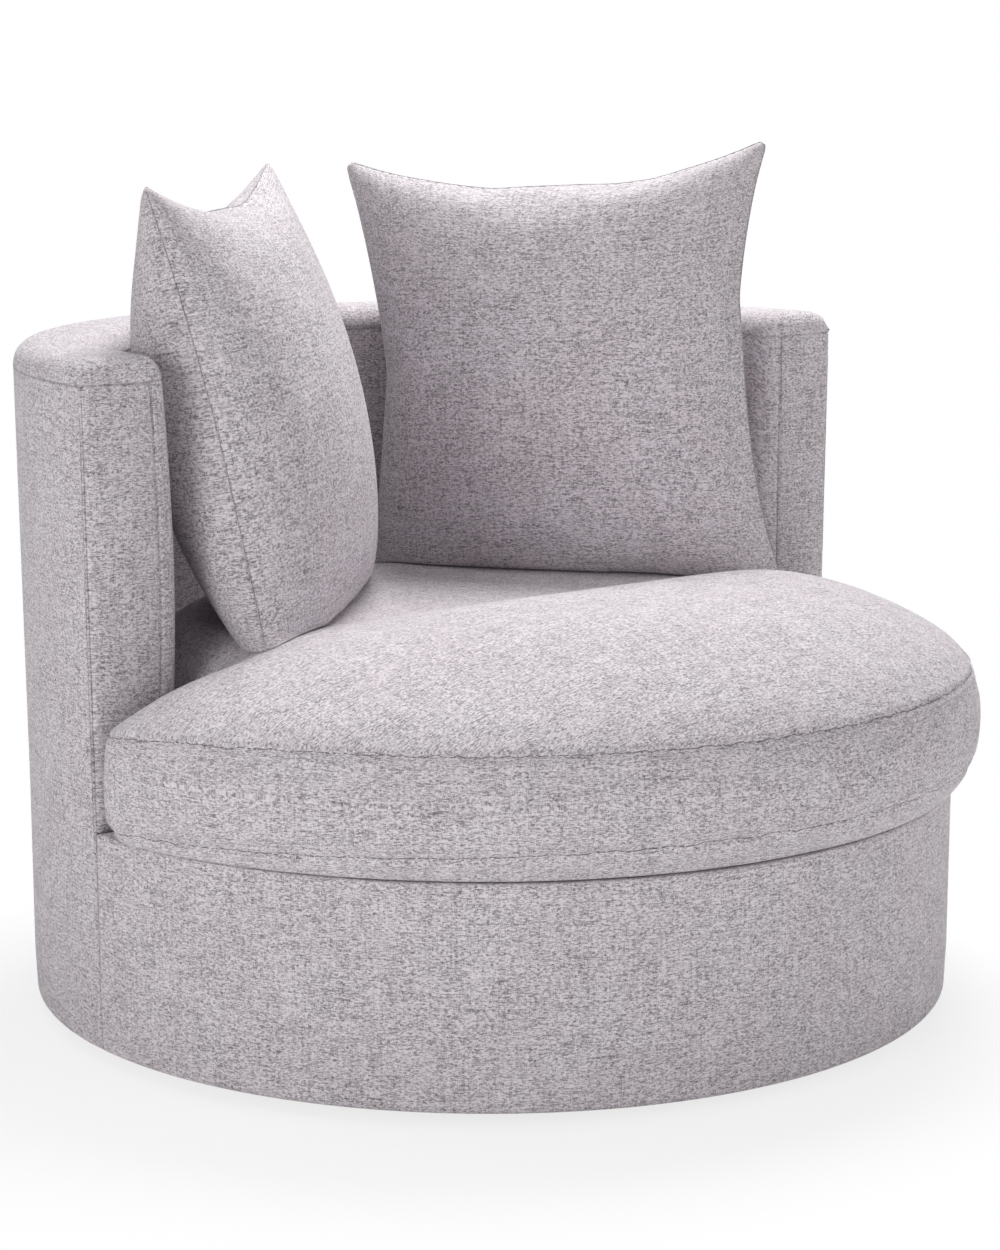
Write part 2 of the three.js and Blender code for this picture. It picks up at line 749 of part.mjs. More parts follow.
// A closed body through rings of points, all with the same number of points, closed by two poles
function loft(rings, lowPole, highPole) {
  const count = rings[0].length;
  const points = [...rings.flat(), lowPole, highPole];
  const index = [];
  rings.forEach((ring, level) => ring.forEach((_, i) => {
    const next = (i + 1) % count;
    const here = level * count;
    const above = here + count;
    if (level === 0) index.push(rings.length * count, next, i);
    if (level === rings.length - 1) index.push(here + i, here + next, rings.length * count + 1);
    else index.push(here + i, here + next, above + next, here + i, above + next, above + i);
  }));
  const geometry = new THREE.BufferGeometry();
  geometry.setAttribute('position', new THREE.Float32BufferAttribute(points.flat(), 3));
  geometry.setIndex(index);
  return body(geometry);
}

function seatCushion() {
  const bottomSeam = (p) => seatSeamHeight - droop(p, bottomDroopPower);
  const topSeam = (p) => seatSeamHeight + seatBoxing - droop(p, topDroopPower);
  const floor = deckHeight + fitGap;
  const crownTop = seatSeamHeight + seatBoxing + seatCrown;
  const at = (inset, height) => seatOutline(inset).map((p) => [...p, height(p)]);
  const under = (share) => (p) => floor + share * (bottomSeam(p) - floor);
  const crown = (share) => (p) => topSeam(p) + share * (crownTop - topSeam(p));
  const crownRing = ([insetShare, planShare, riseShare]) => at(seatEarRadius * insetShare, crown(riseShare))
    .map(([x, y, z]) => [x * planShare, y * planShare - (1 - planShare) * seatEarRadius, z]);
  return loft([
    at(seatUnderside, () => floor),
    at(seatUnderside * seatUnderInsetShare, under(seatUnderRiseShare)),
    at(0, bottomSeam),
    at(-seatBulge, (p) => (bottomSeam(p) + topSeam(p)) / 2),
    at(0, topSeam),
    ...crownShares.map(crownRing),
  ], [0, -seatEarRadius, floor], [0, -seatEarRadius, crownTop]);
}

// The zip in the middle of the rear boxing
function seatZip() {
  const inside = tubRadius - seatTubGap + seatBulge + fitGap;
  const middle = seatSeamHeight + (seatBoxing - seatEarDroop) / 2;
  const band = hoop(inside, inside + zipThickness, middle - zipHeight / 2, middle + zipHeight / 2);
  return behind(band, inside * Math.cos(zipSpread * degrees));
}

// Scatter cushions
const scatterWidth = drumRadius * scatterWidthShare;
const scatterThickness = scatterWidth * scatterThicknessShare;

// A square knife-edge cushion standing on its edge, its face towards -Y, its middle at the origin
function scatterCushion() {
  const geometry = new THREE.BoxGeometry(2, 2, 2, scatterSteps, scatterSteps, 1);
  const place = geometry.getAttribute('position');
  const ease = (share) => Math.sin((share * Math.PI) / 2);
  for (let i = 0; i < place.count; i += 1) {
    const [u, v] = [ease(place.getX(i)), ease(place.getY(i))];
    const pull = scatterDrawIn * (1 - v * v) * Math.abs(u);
    const drop = scatterDrawIn * (1 - u * u) * Math.abs(v);
    const swell = Math.sqrt((1 - Math.abs(u) ** scatterSwellPower) * (1 - Math.abs(v) ** scatterSwellPower));
    const depth = scatterSeam / 2 + (scatterThickness / 2 - scatterSeam / 2) * swell;
    place.setXYZ(
      i,
      u * (scatterWidth / 2) - Math.sign(u) * pull,
      -Math.sign(place.getZ(i)) * depth,
      v * (scatterWidth / 2) - Math.sign(v) * drop,
    );
  }
  return body(geometry);
}

// Turns a scatter cushion to its lean, then lowers it until it rests on the seat
function restOnSeat(name, seat, [xShare, yShare], [turn, lean, roll]) {
  const geometry = scatterCushion();
  geometry.applyMatrix4(new THREE.Matrix4().makeRotationFromEuler(
    new THREE.Euler(-lean * degrees, -roll * degrees, turn * degrees, 'ZXY'),
  ));
  geometry.translate(drumRadius * xShare, drumRadius * yShare, 2 * wallHeight);
  const place = geometry.getAttribute('position');
  const target = new THREE.Mesh(seat);
  const drops = [];
  for (let i = 0; i < place.count; i += 1) {
    const from = new THREE.Vector3().fromBufferAttribute(place, i);
    const ray = new THREE.Raycaster(from, new THREE.Vector3(0, 0, -1));
    const hits = ray.intersectObject(target);
    if (hits.length) drops.push(hits[0].distance);
  }
  add(name, body(geometry.translate(0, 0, fitGap - Math.min(...drops))), cloth);
}

function addCushions() {
  const seat = seatCushion();
  add('seat_cushion', seat, cloth);
  add('seat_cushion_zip', seatZip(), blackCloth);
  restOnSeat('right_scatter_cushion', seat, rightCushionShares, rightCushionTurns);
  restOnSeat('left_scatter_cushion', seat, leftCushionShares, leftCushionTurns);
}

addFloorBase();
addDrumFrame();
addSuspension();
addBackFrame();
addCovers();
addCushions();

export default chair;
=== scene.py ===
import json
import math

import bmesh
import bpy
import numpy as np
from mathutils import Matrix, Vector
from mathutils.bvhtree import BVHTree
from mathutils.kdtree import KDTree


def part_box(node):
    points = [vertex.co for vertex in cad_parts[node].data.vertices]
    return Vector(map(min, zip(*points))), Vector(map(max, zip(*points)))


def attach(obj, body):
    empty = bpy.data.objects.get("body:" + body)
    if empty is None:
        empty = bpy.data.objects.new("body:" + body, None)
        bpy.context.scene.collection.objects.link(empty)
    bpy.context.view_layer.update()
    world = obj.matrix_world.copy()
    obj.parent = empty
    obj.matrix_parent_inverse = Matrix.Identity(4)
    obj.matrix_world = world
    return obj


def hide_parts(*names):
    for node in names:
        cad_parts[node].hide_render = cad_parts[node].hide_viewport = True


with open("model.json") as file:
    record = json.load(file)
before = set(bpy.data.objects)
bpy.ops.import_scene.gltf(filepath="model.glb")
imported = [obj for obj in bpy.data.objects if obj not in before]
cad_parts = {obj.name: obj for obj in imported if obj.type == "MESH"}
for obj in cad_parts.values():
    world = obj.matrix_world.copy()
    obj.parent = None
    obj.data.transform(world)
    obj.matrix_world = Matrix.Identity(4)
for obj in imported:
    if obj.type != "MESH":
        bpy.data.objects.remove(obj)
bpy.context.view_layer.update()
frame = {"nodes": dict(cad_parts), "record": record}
scene = bpy.context.scene
scene.view_settings.view_transform = "Standard"

# Sizes in metres. The chair faces -Y and the sitter's left arm is at +X.
DRUM = 0.5
FLOOR_GAP = 0.012
DECK = 0.24
WALL = 0.713
TUB = 0.4
FLARE = 0.006
ROLL = 0.025
BAND_SEAM = WALL - ROLL
ARM_SEAM = TUB + 0.025
HEM = 0.03
HEM_ROUND = 0.006
OUTER_EDGE = 0.009
TOP_EDGE = 0.018
INNER_EDGE = 0.022
COVER = 0.003
CREASE = 0.0009
SEAM_FOLD = 0.0009
PUFF_REACH = 0.16
INNER_PUFF = 0.0085
TOP_DRAW = 0.006
FRONT_PUFF = 0.005

SEAT_FRONT = 0.528
SEAT_BACK = 0.392
EAR = 0.07
EAR_GAP = 0.002
SEAT_SEAM = 0.272
BOXING = 0.098
DROOP = 0.026
SLUMP = 0.012
CROWN = 0.08
SIDE_FALL = 0.016
REAR_CROWN = 0.068
FRONT_REACH = 0.24
REAR_REACH = 0.06
TOP_STITCH = 0.0075
LOW_STITCH = 0.0085

SCATTER = 0.5
TRIM = 0.98
CLOTH_SHARE = 0.22
TIP_ROUND = 0.065

ZIP_REACH = math.radians(42)
ZIP_TEETH = 150


# The photograph's camera
def set_camera():
    data = bpy.data.cameras.new("camera")
    data.sensor_width = 36
    data.lens = 87.98
    camera = bpy.data.objects.new("camera", data)
    camera.location = (-2.011, -2.581, 0.991)
    camera.rotation_euler = (math.radians(90 - 10.307), 0, math.radians(-38.1))
    scene.collection.objects.link(camera)
    scene.camera = camera


set_camera()


# Node helpers
def add_node(tree, kind, **values):
    node = tree.nodes.new(kind)
    for name, value in values.items():
        setattr(node, name, value)
    return node


def link(tree, value, socket):
    if hasattr(value, "links"):
        tree.links.new(value, socket)
    else:
        socket.default_value = value


def maths(tree, operation, *values):
    node = add_node(tree, "ShaderNodeMath", operation=operation)
    for value, socket in zip(values, node.inputs):
        link(tree, value, socket)
    return node.outputs[0]


def blend_colours(tree, share, first, second, blend_type="MIX"):
    node = add_node(tree, "ShaderNodeMix", data_type="RGBA", blend_type=blend_type)
    link(tree, share, node.inputs[0])
    link(tree, first, node.inputs[6])
    link(tree, second, node.inputs[7])
    return node.outputs[2]


def stretched(tree, vector, scale):
    node = add_node(tree, "ShaderNodeVectorMath", operation="MULTIPLY")
    link(tree, vector, node.inputs[0])
    link(tree, scale, node.inputs[1])
    return node.outputs[0]


def speckle(tree, vector, scale, detail=1.0, roughness=0.5):
    node = add_node(tree, "ShaderNodeTexNoise", noise_dimensions="3D")
    link(tree, stretched(tree, vector, scale), node.inputs["Vector"])
    node.inputs["Scale"].default_value = 1
    node.inputs["Detail"].default_value = detail
    node.inputs["Roughness"].default_value = roughness
    return node.outputs["Fac"]


def between(tree, value, low, high, smooth=True):
    kind = "SMOOTHSTEP" if smooth else "LINEAR"
    node = add_node(tree, "ShaderNodeMapRange", interpolation_type=kind)
    link(tree, value, node.inputs["Value"])
    link(tree, low, node.inputs["From Min"])
    link(tree, high, node.inputs["From Max"])
    return node.outputs["Result"]


# Short floats of one yarn after another: each row holds dashes of its own, and each dash its own value
def floats(tree, along, across, length, seed):
    row = maths(tree, "FLOOR", across)
    shift = add_node(tree, "ShaderNodeTexWhiteNoise", noise_dimensions="1D")
    link(tree, maths(tree, "ADD", row, seed), shift.inputs["W"])
    lengths = maths(tree, "DIVIDE", along, length)
    dash = maths(tree, "FLOOR", maths(tree, "MULTIPLY_ADD", shift.outputs["Value"], 9, lengths))
    cell = add_node(tree, "ShaderNodeCombineXYZ")
    link(tree, dash, cell.inputs[0])
    link(tree, row, cell.inputs[1])
    link(tree, seed, cell.inputs[2])
    value = add_node(tree, "ShaderNodeTexWhiteNoise", noise_dimensions="3D")
    link(tree, cell.outputs[0], value.inputs["Vector"])
    return value.outputs["Value"]


def group(name, inputs, outputs):
    tree = bpy.data.node_groups.new(name, "ShaderNodeTree")
    for label, kind, default in inputs:
        socket = tree.interface.new_socket(label, in_out="INPUT", socket_type=kind)
        if default is not None:
            socket.default_value = default
    for label, kind in outputs:
        tree.interface.new_socket(label, in_out="OUTPUT", socket_type=kind)
    return tree, add_node(tree, "NodeGroupInput"), add_node(tree, "NodeGroupOutput")


COLOUR, NUMBER, POINT = "NodeSocketColor", "NodeSocketFloat", "NodeSocketVector"


# Cloth woven from light and dark yarns: short dark floats along the weft and the warp, fine lines both
# ways, a few slubs, and slow drifts of tone. The vector is in metres along the weft and the warp.
def woven_group():
    tree, given, result = group(
        "woven_yarn",
        [
            ("Vector", POINT, None),
            ("Light", COLOUR, (0.6, 0.57, 0.6, 1)),
            ("Dark", COLOUR, (0.1, 0.09, 0.11, 1)),
            ("Tint", COLOUR, (0.55, 0.5, 0.53, 1)),
            ("Yarn", NUMBER, 0.0013),
            ("Dark Share", NUMBER, 0.35),
        ],
        [("Color", COLOUR), ("Height", NUMBER), ("Roughness", NUMBER)],
    )
    place = given.outputs["Vector"]
    yarns = add_node(tree, "ShaderNodeVectorMath", operation="DIVIDE")
    link(tree, place, yarns.inputs[0])
    link(tree, given.outputs["Yarn"], yarns.inputs[1])
    yarns = yarns.outputs[0]
    grain = speckle(tree, yarns, (0.4, 0.6, 1), 1.0)
    split = add_node(tree, "ShaderNodeSeparateXYZ")
    link(tree, yarns, split.inputs[0])
    bend = speckle(tree, place, (40, 40, 1), 1.0)
    along = maths(tree, "MULTIPLY_ADD", bend, 3, split.outputs[0])
    up = maths(tree, "MULTIPLY_ADD", bend, 3, split.outputs[1])
    weft = floats(tree, along, up, 3.2, 3.5)
    warp = floats(tree, up, along, 2.4, 41.5)
    across = speckle(tree, place, (14, 420, 1), 1.0)
    down = speckle(tree, place, (400, 11, 1), 1.0)
    slub = between(tree, speckle(tree, place, (60, 520, 1), 0.0), 0.6, 0.72)
    cloud = speckle(tree, place, (11, 9, 1), 2.0)
    drift = speckle(tree, place, (34, 27, 1), 1.0)

    shade = maths(tree, "MULTIPLY_ADD", weft, 0.36, maths(tree, "MULTIPLY", warp, 0.2))
    for layer, weight in ((grain, 0.15), (across, 0.2), (down, 0.18), (drift, 0.1), (slub, 0.08)):
        shade = maths(tree, "MULTIPLY_ADD", layer, weight, shade)
    shade = maths(tree, "ADD", shade, maths(tree, "SUBTRACT", given.outputs["Dark Share"], 1.0))
    dark = between(tree, shade, -0.2, 0.22, smooth=False)
    tinted = between(tree, cloud, 0.4, 0.6)
    base = blend_colours(tree, tinted, given.outputs["Light"], given.outputs["Tint"])
    colour = blend_colours(tree, dark, base, given.outputs["Dark"])
    link(tree, colour, result.inputs["Color"])
    height = maths(tree, "MULTIPLY_ADD", weft, 0.6, maths(tree, "MULTIPLY", grain, 0.5))
    link(tree, height, result.inputs["Height"])
    link(tree, maths(tree, "MULTIPLY_ADD", grain, 0.12, 0.86), result.inputs["Roughness"])
    return tree


# Plain grain along one direction, for boards and brushed metal
def grain_group():
    tree, given, result = group(
        "long_grain",
        [
            ("Vector", POINT, None),
            ("Stretch", POINT, (4, 60, 60)),
            ("Light", COLOUR, (0.6, 0.45, 0.28, 1)),
            ("Dark", COLOUR, (0.35, 0.24, 0.13, 1)),
        ],
        [("Color", COLOUR), ("Height", NUMBER), ("Roughness", NUMBER)],
    )
    lines = speckle(tree, given.outputs["Vector"], given.outputs["Stretch"], 5.0, 0.62)
    pores = speckle(tree, given.outputs["Vector"], (240, 240, 240), 2.0)
    tone = maths(tree, "MULTIPLY_ADD", pores, 0.3, between(tree, lines, 0.3, 0.72))
    tone = maths(tree, "MINIMUM", tone, 1.0)
    colour = blend_colours(tree, tone, given.outputs["Light"], given.outputs["Dark"])
    link(tree, colour, result.inputs["Color"])
    link(tree, lines, result.inputs["Height"])
    link(tree, maths(tree, "MULTIPLY_ADD", lines, 0.3, 0.4), result.inputs["Roughness"])
    return tree


WOVEN = woven_group()
GRAIN = grain_group()


def new_material(name):
    material = bpy.data.materials.new(name)
    material.use_nodes = True
    tree = material.node_tree
    shader = tree.nodes["Principled BSDF"]
    return material, tree, shader


def bump(tree, shader, height, strength, distance):
    node = add_node(tree, "ShaderNodeBump")
    node.inputs["Strength"].default_value = strength
    node.inputs["Distance"].default_value = distance
    link(tree, height, node.inputs["Height"])
    link(tree, node.outputs[0], shader.inputs["Normal"])


def cloth_material(name, light, dark, tint, yarn, dark_share, sheen):
    material, tree, shader = new_material(name)
    weave = add_node(tree, "ShaderNodeGroup", node_tree=WOVEN)
    where = add_node(tree, "ShaderNodeUVMap", uv_map="weave")
    link(tree, where.outputs[0], weave.inputs["Vector"])
    for label, value in (("Light", light), ("Dark", dark), ("Tint", tint)):
        weave.inputs[label].default_value = (*value, 1)
    weave.inputs["Yarn"].default_value = yarn
    weave.inputs["Dark Share"].default_value = dark_share
    link(tree, weave.outputs["Color"], shader.inputs["Base Color"])
    link(tree, weave.outputs["Roughness"], shader.inputs["Roughness"])
    shader.inputs["Sheen Weight"].default_value = sheen
    shader.inputs["Sheen Roughness"].default_value = 0.6
    shader.inputs["Specular IOR Level"].default_value = 0.25
    bump(tree, shader, weave.outputs["Height"], 0.35, 0.0004)
    return material


def grained_material(name, light, dark, stretch, metallic=0.0, strength=0.2):
    material, tree, shader = new_material(name)
    grain = add_node(tree, "ShaderNodeGroup", node_tree=GRAIN)
    where = add_node(tree, "ShaderNodeTexCoord")
    link(tree, where.outputs["Object"], grain.inputs["Vector"])
    grain.inputs["Stretch"].default_value = stretch
    grain.inputs["Light"].default_value = (*light, 1)
    grain.inputs["Dark"].default_value = (*dark, 1)
    link(tree, grain.outputs["Color"], shader.inputs["Base Color"])
    link(tree, grain.outputs["Roughness"], shader.inputs["Roughness"])
    shader.inputs["Metallic"].default_value = metallic
    bump(tree, shader, grain.outputs["Height"], strength, 0.0004)
    return material


upholstery = cloth_material(
    "upholstery", (0.78, 0.73, 0.77), (0.18, 0.162, 0.174), (0.77, 0.705, 0.745), 0.0009, 0.35, 0.15
)
lining = cloth_material(
    "lining", (0.03, 0.03, 0.033), (0.008, 0.008, 0.009), (0.026, 0.025, 0.028), 0.0012, 0.35, 0.1
)
# A lighter seam-fold cloth for the tub and the loose cushions: its darker tone is painted shade of the
# seam grooves
soft_seam_shade = cloth_material(
    "soft_seam_shade", (0.62, 0.58, 0.61), (0.16, 0.14, 0.15), (0.6, 0.55, 0.58), 0.0009, 0.38, 0.1
)
# Darker cloth for the seat cushion's seam folds: its darkness is painted shade, the shadow in the
# seam's groove
seam_shade_cloth = cloth_material(
    "seam_shade_cloth", (0.38, 0.35, 0.37), (0.07, 0.06, 0.07), (0.34, 0.31, 0.33), 0.0009, 0.45, 0.1
)
thread = cloth_material(
    "thread", (0.6, 0.57, 0.6), (0.2, 0.18, 0.2), (0.56, 0.52, 0.55), 0.0006, 0.3, 0.1
)
plywood = grained_material("plywood", (0.62, 0.46, 0.28), (0.4, 0.27, 0.14), (5, 40, 90))
hardboard = grained_material("hardboard", (0.26, 0.16, 0.085), (0.17, 0.1, 0.05), (160, 160, 160))
foam = grained_material(
    "foam", (0.78, 0.7, 0.5), (0.62, 0.54, 0.36), (400, 400, 400), strength=0.6
)
zinc = grained_material(
    "zinc", (0.6, 0.61, 0.62), (0.42, 0.43, 0.45), (30, 260, 260), metallic=1.0
)
nylon = grained_material("nylon", (0.022, 0.022, 0.024), (0.014, 0.014, 0.016), (90, 90, 90))
zip_metal = grained_material(
    "zip_metal", (0.34, 0.34, 0.35), (0.2, 0.2, 0.21), (300, 300, 300), metallic=1.0
)

FINISHES = {
    "upholstery": upholstery,
    "black_cloth": lining,
    "foam": foam,
    "plywood": plywood,
    "hardboard": hardboard,
    "steel": zinc,
    "nylon": nylon,
}
for part in frame["record"]["subparts"]:
    mesh = frame["nodes"][part["node"]].data
    mesh.materials.clear()
    mesh.materials.append(FINISHES[part["material_slot"]])


# Mesh helpers
def copy_of_node(name):
    bm = bmesh.new()
    bm.from_mesh(frame["nodes"][name].data)
    bmesh.ops.remove_doubles(bm, verts=bm.verts, dist=1e-5)
    return bm


def points_of(mesh):
    found = np.zeros(len(mesh.vertices) * 3)
    mesh.vertices.foreach_get("co", found)
    return found.reshape(-1, 3)


def set_points(mesh, points):
    mesh.vertices.foreach_set("co", points.ravel())
    mesh.update()


def radii(points):
    return np.hypot(points[:, 0], points[:, 1])


def eased(share):
    share = np.clip(share, 0, 1)
    return share ** 2 * (3 - 2 * share)


# Gives every face corner its place in the cloth, in metres along the weft and the warp
def set_weave(mesh, place):
    corners = np.zeros(len(mesh.loops), int)
    mesh.loops.foreach_get("vertex_index", corners)
    sizes = np.zeros(len(mesh.polygons), int)
    mesh.polygons.foreach_get("loop_total", sizes)
    middles = np.zeros(len(mesh.polygons) * 3)
    mesh.polygons.foreach_get("center", middles)
    normals = np.zeros(len(mesh.polygons) * 3)
    mesh.polygons.foreach_get("normal", normals)
    middles = np.repeat(middles.reshape(-1, 3), sizes, axis=0)
    normals = np.repeat(normals.reshape(-1, 3), sizes, axis=0)
    along, up = place(points_of(mesh)[corners], middles, normals)
    layer = mesh.uv_layers.new(name="weave")
    layer.data.foreach_set("uv", np.stack([along, up], axis=1).ravel())


def mesh_of(name, bm):
    mesh = bpy.data.meshes.new(name)
    bm.to_mesh(mesh)
    bm.free()
    return mesh


def put(name, mesh, material, body, nodes=()):
    piece = bpy.data.objects.new(name, mesh)
    scene.collection.objects.link(piece)
    mesh.materials.clear()
    mesh.materials.append(material)
    mesh.shade_smooth()
    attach(piece, body)
    if nodes:
        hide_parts(*nodes)
    return piece


def thicken(piece, thickness):
    shell = piece.modifiers.new("thickness", "SOLIDIFY")
    shell.thickness = thickness
    shell.offset = -1
    return piece


def angle_from_back(co):
    return math.atan2(-co.x, co.y)


def radius_of(co):
    return math.hypot(co.x, co.y)


def clamped(value):
    return min(1.0, max(0.0, value))


def cut_at(bm, co, normal):
    bmesh.ops.bisect_plane(
        bm, geom=bm.verts[:] + bm.edges[:] + bm.faces[:], plane_co=co, plane_no=normal, dist=1e-6
    )


def cut_heights(bm, heights):
    for height in heights:
        cut_at(bm, (0, 0, height), (0, 0, 1))


def wire(bm, points):
    verts = [bm.verts.new(p) for p in points]
    for first, second in zip(verts, verts[1:]):
        bm.edges.new((first, second))
    return verts


def round_corner(bm, vert, radius, segments):
    bmesh.ops.bevel(
        bm, geom=[vert], offset=radius, offset_type="OFFSET", affect="VERTICES",
        segments=segments, profile=0.5, material=-1,
    )


def round_edges(bm, edges, radius, segments):
    bmesh.ops.bevel(
        bm, geom=edges, offset=radius, offset_type="OFFSET", affect="EDGES",
        segments=segments, profile=0.5, material=-1,
    )


# The seams' creases: each cover's edge is drawn in
def draw_in_edges(bm, depth):
    bm.normal_update()
    edge_verts = {v for e in bm.edges if e.is_boundary for v in e.verts}
    moves = [(v, v.normal * -depth) for v in edge_verts]
    for vert, move in moves:
        vert.co += move


# How deep a point of the wall's section lies under its outline, and the way in
def section_depth(radius, height):
    outer = DRUM + FLARE * max(0.0, height - DECK) / (WALL - DECK)
    for centre in ((TUB + ROLL, WALL - ROLL), (outer - ROLL, WALL - ROLL)):
        away = Vector((radius - centre[0], height - centre[1]))
        side = -1 if centre[0] < (TUB + DRUM) / 2 else 1
        if away.y > 0 and away.x * side > 0:
            return ROLL - away.length, -away.normalized()
    return min(
        (radius - TUB, Vector((1, 0))),
        (outer - radius, Vector((-1, 0))),
        (WALL - height, Vector((0, -1))),
        key=lambda pair: pair[0],
    )


def end_radius(inward):
    if inward.x < 0:
        return TOP_EDGE + (OUTER_EDGE - TOP_EDGE) * inward.x ** 2
    return TOP_EDGE + (INNER_EDGE - TOP_EDGE) * inward.x ** 2


# Rounds the edges between the tub's arm ends and its faces. The outline's own points go halfway round.
def soften_arm_ends(bm):
    for vert in bm.verts:
        co = vert.co
        if co.y > INNER_EDGE or co.z < DECK - 0.01:
            continue
        depth, inward = section_depth(radius_of(co), co.z)
        size = end_radius(inward)
        side = math.copysign(1, co.x)
        depth = max(depth, 0)
        if co.y < 1e-6 and depth < size:
            turn = math.pi / 4 * (1 + depth / size)
        elif co.y < size and depth < 1e-4:
            turn = math.pi / 4 * (1 - co.y / size)
        else:
            continue
        move = size * (1 - math.cos(turn)) - depth
        co.x += inward.x * move * side
        co.z += inward.y * move
        co.y = size * (1 - math.sin(turn))


# The stuffing: the fronts of the arms swell forward, and their inner sides swell into the tub
def puff_arms(bm):
    for vert in bm.verts:
        co = vert.co
        if co.z < DECK or co.y > PUFF_REACH:
            continue
        radius = radius_of(co)
        side = math.copysign(1, co.x)
        near = (1 - co.y / PUFF_REACH) ** 2
        low, high = 0.3, 0.65
        rise = (co.z - low) / (high - low)
        swell = math.sin(math.pi * clamped(rise)) * INNER_PUFF
        if rise > 1:
            swell = -TOP_DRAW * (co.z - high) / (WALL - high)
        within = clamped((TUB + 0.05 - radius) / 0.05)
        co.x -= side * swell * near * within
        across = clamped((radius - TUB) / (DRUM - TUB))
        up = clamped((co.z - DECK) / (WALL - DECK))
        front = max(0.0, 1 - co.y / 0.03)
        co.y -= FRONT_PUFF * front * 16 * across * (1 - across) * up * (1 - up)


BAND, OUTER, INNER, LEFT_PANEL, RIGHT_PANEL = range(1, 6)

# The drum's profile, from the hem to the deck's edge
DRUM_PROFILE = [
    (DRUM - HEM, 0, FLOOR_GAP + 0.002),
    (DRUM - 0.0025, 0, FLOOR_GAP),
    (DRUM - 0.0005, 0, 0.06),
    (DRUM, 0, DECK),
]


# The whole tub as one form, its faces marked with the cover that each belongs to
def tub_form():
    bm = bmesh.new()
    corners = wire(bm, DRUM_PROFILE + [(DRUM + FLARE, 0, WALL), (TUB, 0, WALL), (TUB, 0, DECK - 0.004)])
    round_corner(bm, corners[4], ROLL, 8)
    round_corner(bm, corners[5], ROLL, 8)
    round_corner(bm, corners[1], HEM_ROUND, 4)
    start = math.asin(0.03 / DRUM)
    bmesh.ops.rotate(bm, verts=bm.verts, cent=(0, 0, 0), matrix=Matrix.Rotation(start, 3, "Z"))
    spun, whole = bm.verts[:] + bm.edges[:], math.pi - 2 * start
    bmesh.ops.spin(bm, geom=spun, cent=(0, 0, 0), axis=(0, 0, 1), angle=whole, steps=112)

    def at_end(vert):
        return abs(abs(angle_from_back(vert.co)) - (math.pi / 2 - start)) < 1e-4

    for side in (1, -1):
        ends = [e for e in bm.edges if len(e.link_faces) == 1 and all(
            at_end(v) and v.co.x * side > 0 for v in e.verts
        )]
        made = bmesh.ops.extrude_edge_only(bm, edges=ends)["geom"]
        for vert in (g for g in made if isinstance(g, bmesh.types.BMVert)):
            vert.co = (radius_of(vert.co) * side, 0, vert.co.z)
    for depth in (0.0015, 0.004, 0.0075, 0.012, 0.017, 0.022):
        cut_at(bm, (0, depth, 0), (0, 1, 0))
    for side in (1, -1):
        rim = [e for e in bm.edges if len(e.link_faces) == 1 and all(
            abs(v.co.y) < 1e-6 and v.co.x * side > 0 and v.co.z > DECK - 0.01 for v in e.verts
        )]
        ring = {v for e in rim for v in e.verts}
        tips = [v for v in ring if sum(e in rim for e in v.link_edges) == 1]
        rim.append(bm.edges.new(tips))
        cap = bmesh.ops.contextual_create(bm, geom=rim)["faces"]
        for step in (0.0015, 0.0025, 0.0035, 0.0045, 0.005, 0.004):
            bmesh.ops.inset_region(bm, faces=cap, thickness=step, use_even_offset=True)
    cut_heights(bm, [BAND_SEAM - 0.003, BAND_SEAM, BAND_SEAM + 0.003])
    cut_heights(bm, [DECK + 0.032 * i for i in range(1, 14)])
    for x in (ARM_SEAM - 0.003, ARM_SEAM, ARM_SEAM + 0.003):
        for side in (1, -1):
            front = [f for f in bm.faces if abs(f.calc_center_median().y) < 1e-6]
            around = {g for f in front for g in (*f.edges, *f.verts)}
            bmesh.ops.bisect_plane(
                bm, geom=front + list(around), plane_co=(x * side, 0, 0), plane_no=(1, 0, 0), dist=1e-6
            )
    bmesh.ops.recalc_face_normals(bm, faces=bm.faces)
    top = max(bm.faces, key=lambda f: f.calc_center_median().z)
    if top.normal.z < 0:
        bmesh.ops.reverse_faces(bm, faces=bm.faces)
    mark = bm.faces.layers.int.new("cover")
    for face in bm.faces:
        middle = face.calc_center_median()
        if middle.z > BAND_SEAM:
            face[mark] = BAND
        elif abs(middle.y) < 1e-6 and middle.z > DECK - 0.005:
            panel = LEFT_PANEL if middle.x > 0 else RIGHT_PANEL
            face[mark] = INNER if abs(middle.x) < ARM_SEAM else panel
        elif radius_of(middle) > (TUB + DRUM) / 2 or middle.z < DECK - 0.01:
            face[mark] = OUTER
        else:
            face[mark] = INNER
    soften_arm_ends(bm)
    puff_arms(bm)
    return bm


def cover_of(form, which):
    bm = form.copy()
    mark = bm.faces.layers.int["cover"]
    bmesh.ops.delete(bm, geom=[f for f in bm.faces if f[mark] != which], context="FACES")
    return bm


# How the cloth lies on the tub: round the wall, over its top, and straight up on the arms' fronts
def along_wall(reach):
    def place(points, middles, normals):
        across = radii(points)
        outside = np.where(radii(middles) > (TUB + DRUM) / 2, 1, -1)
        along = np.arctan2(-points[:, 0], points[:, 1]) * reach
        up = (across - (TUB + DRUM) / 2) + outside * (WALL - points[:, 2])
        front = (normals[:, 1] < -0.75) & (middles[:, 1] < INNER_EDGE)
        return np.where(front, points[:, 0], along), np.where(front, points[:, 2], -up)
    return place


def across_front(points, middles, normals):
    return points[:, 0], points[:, 2]


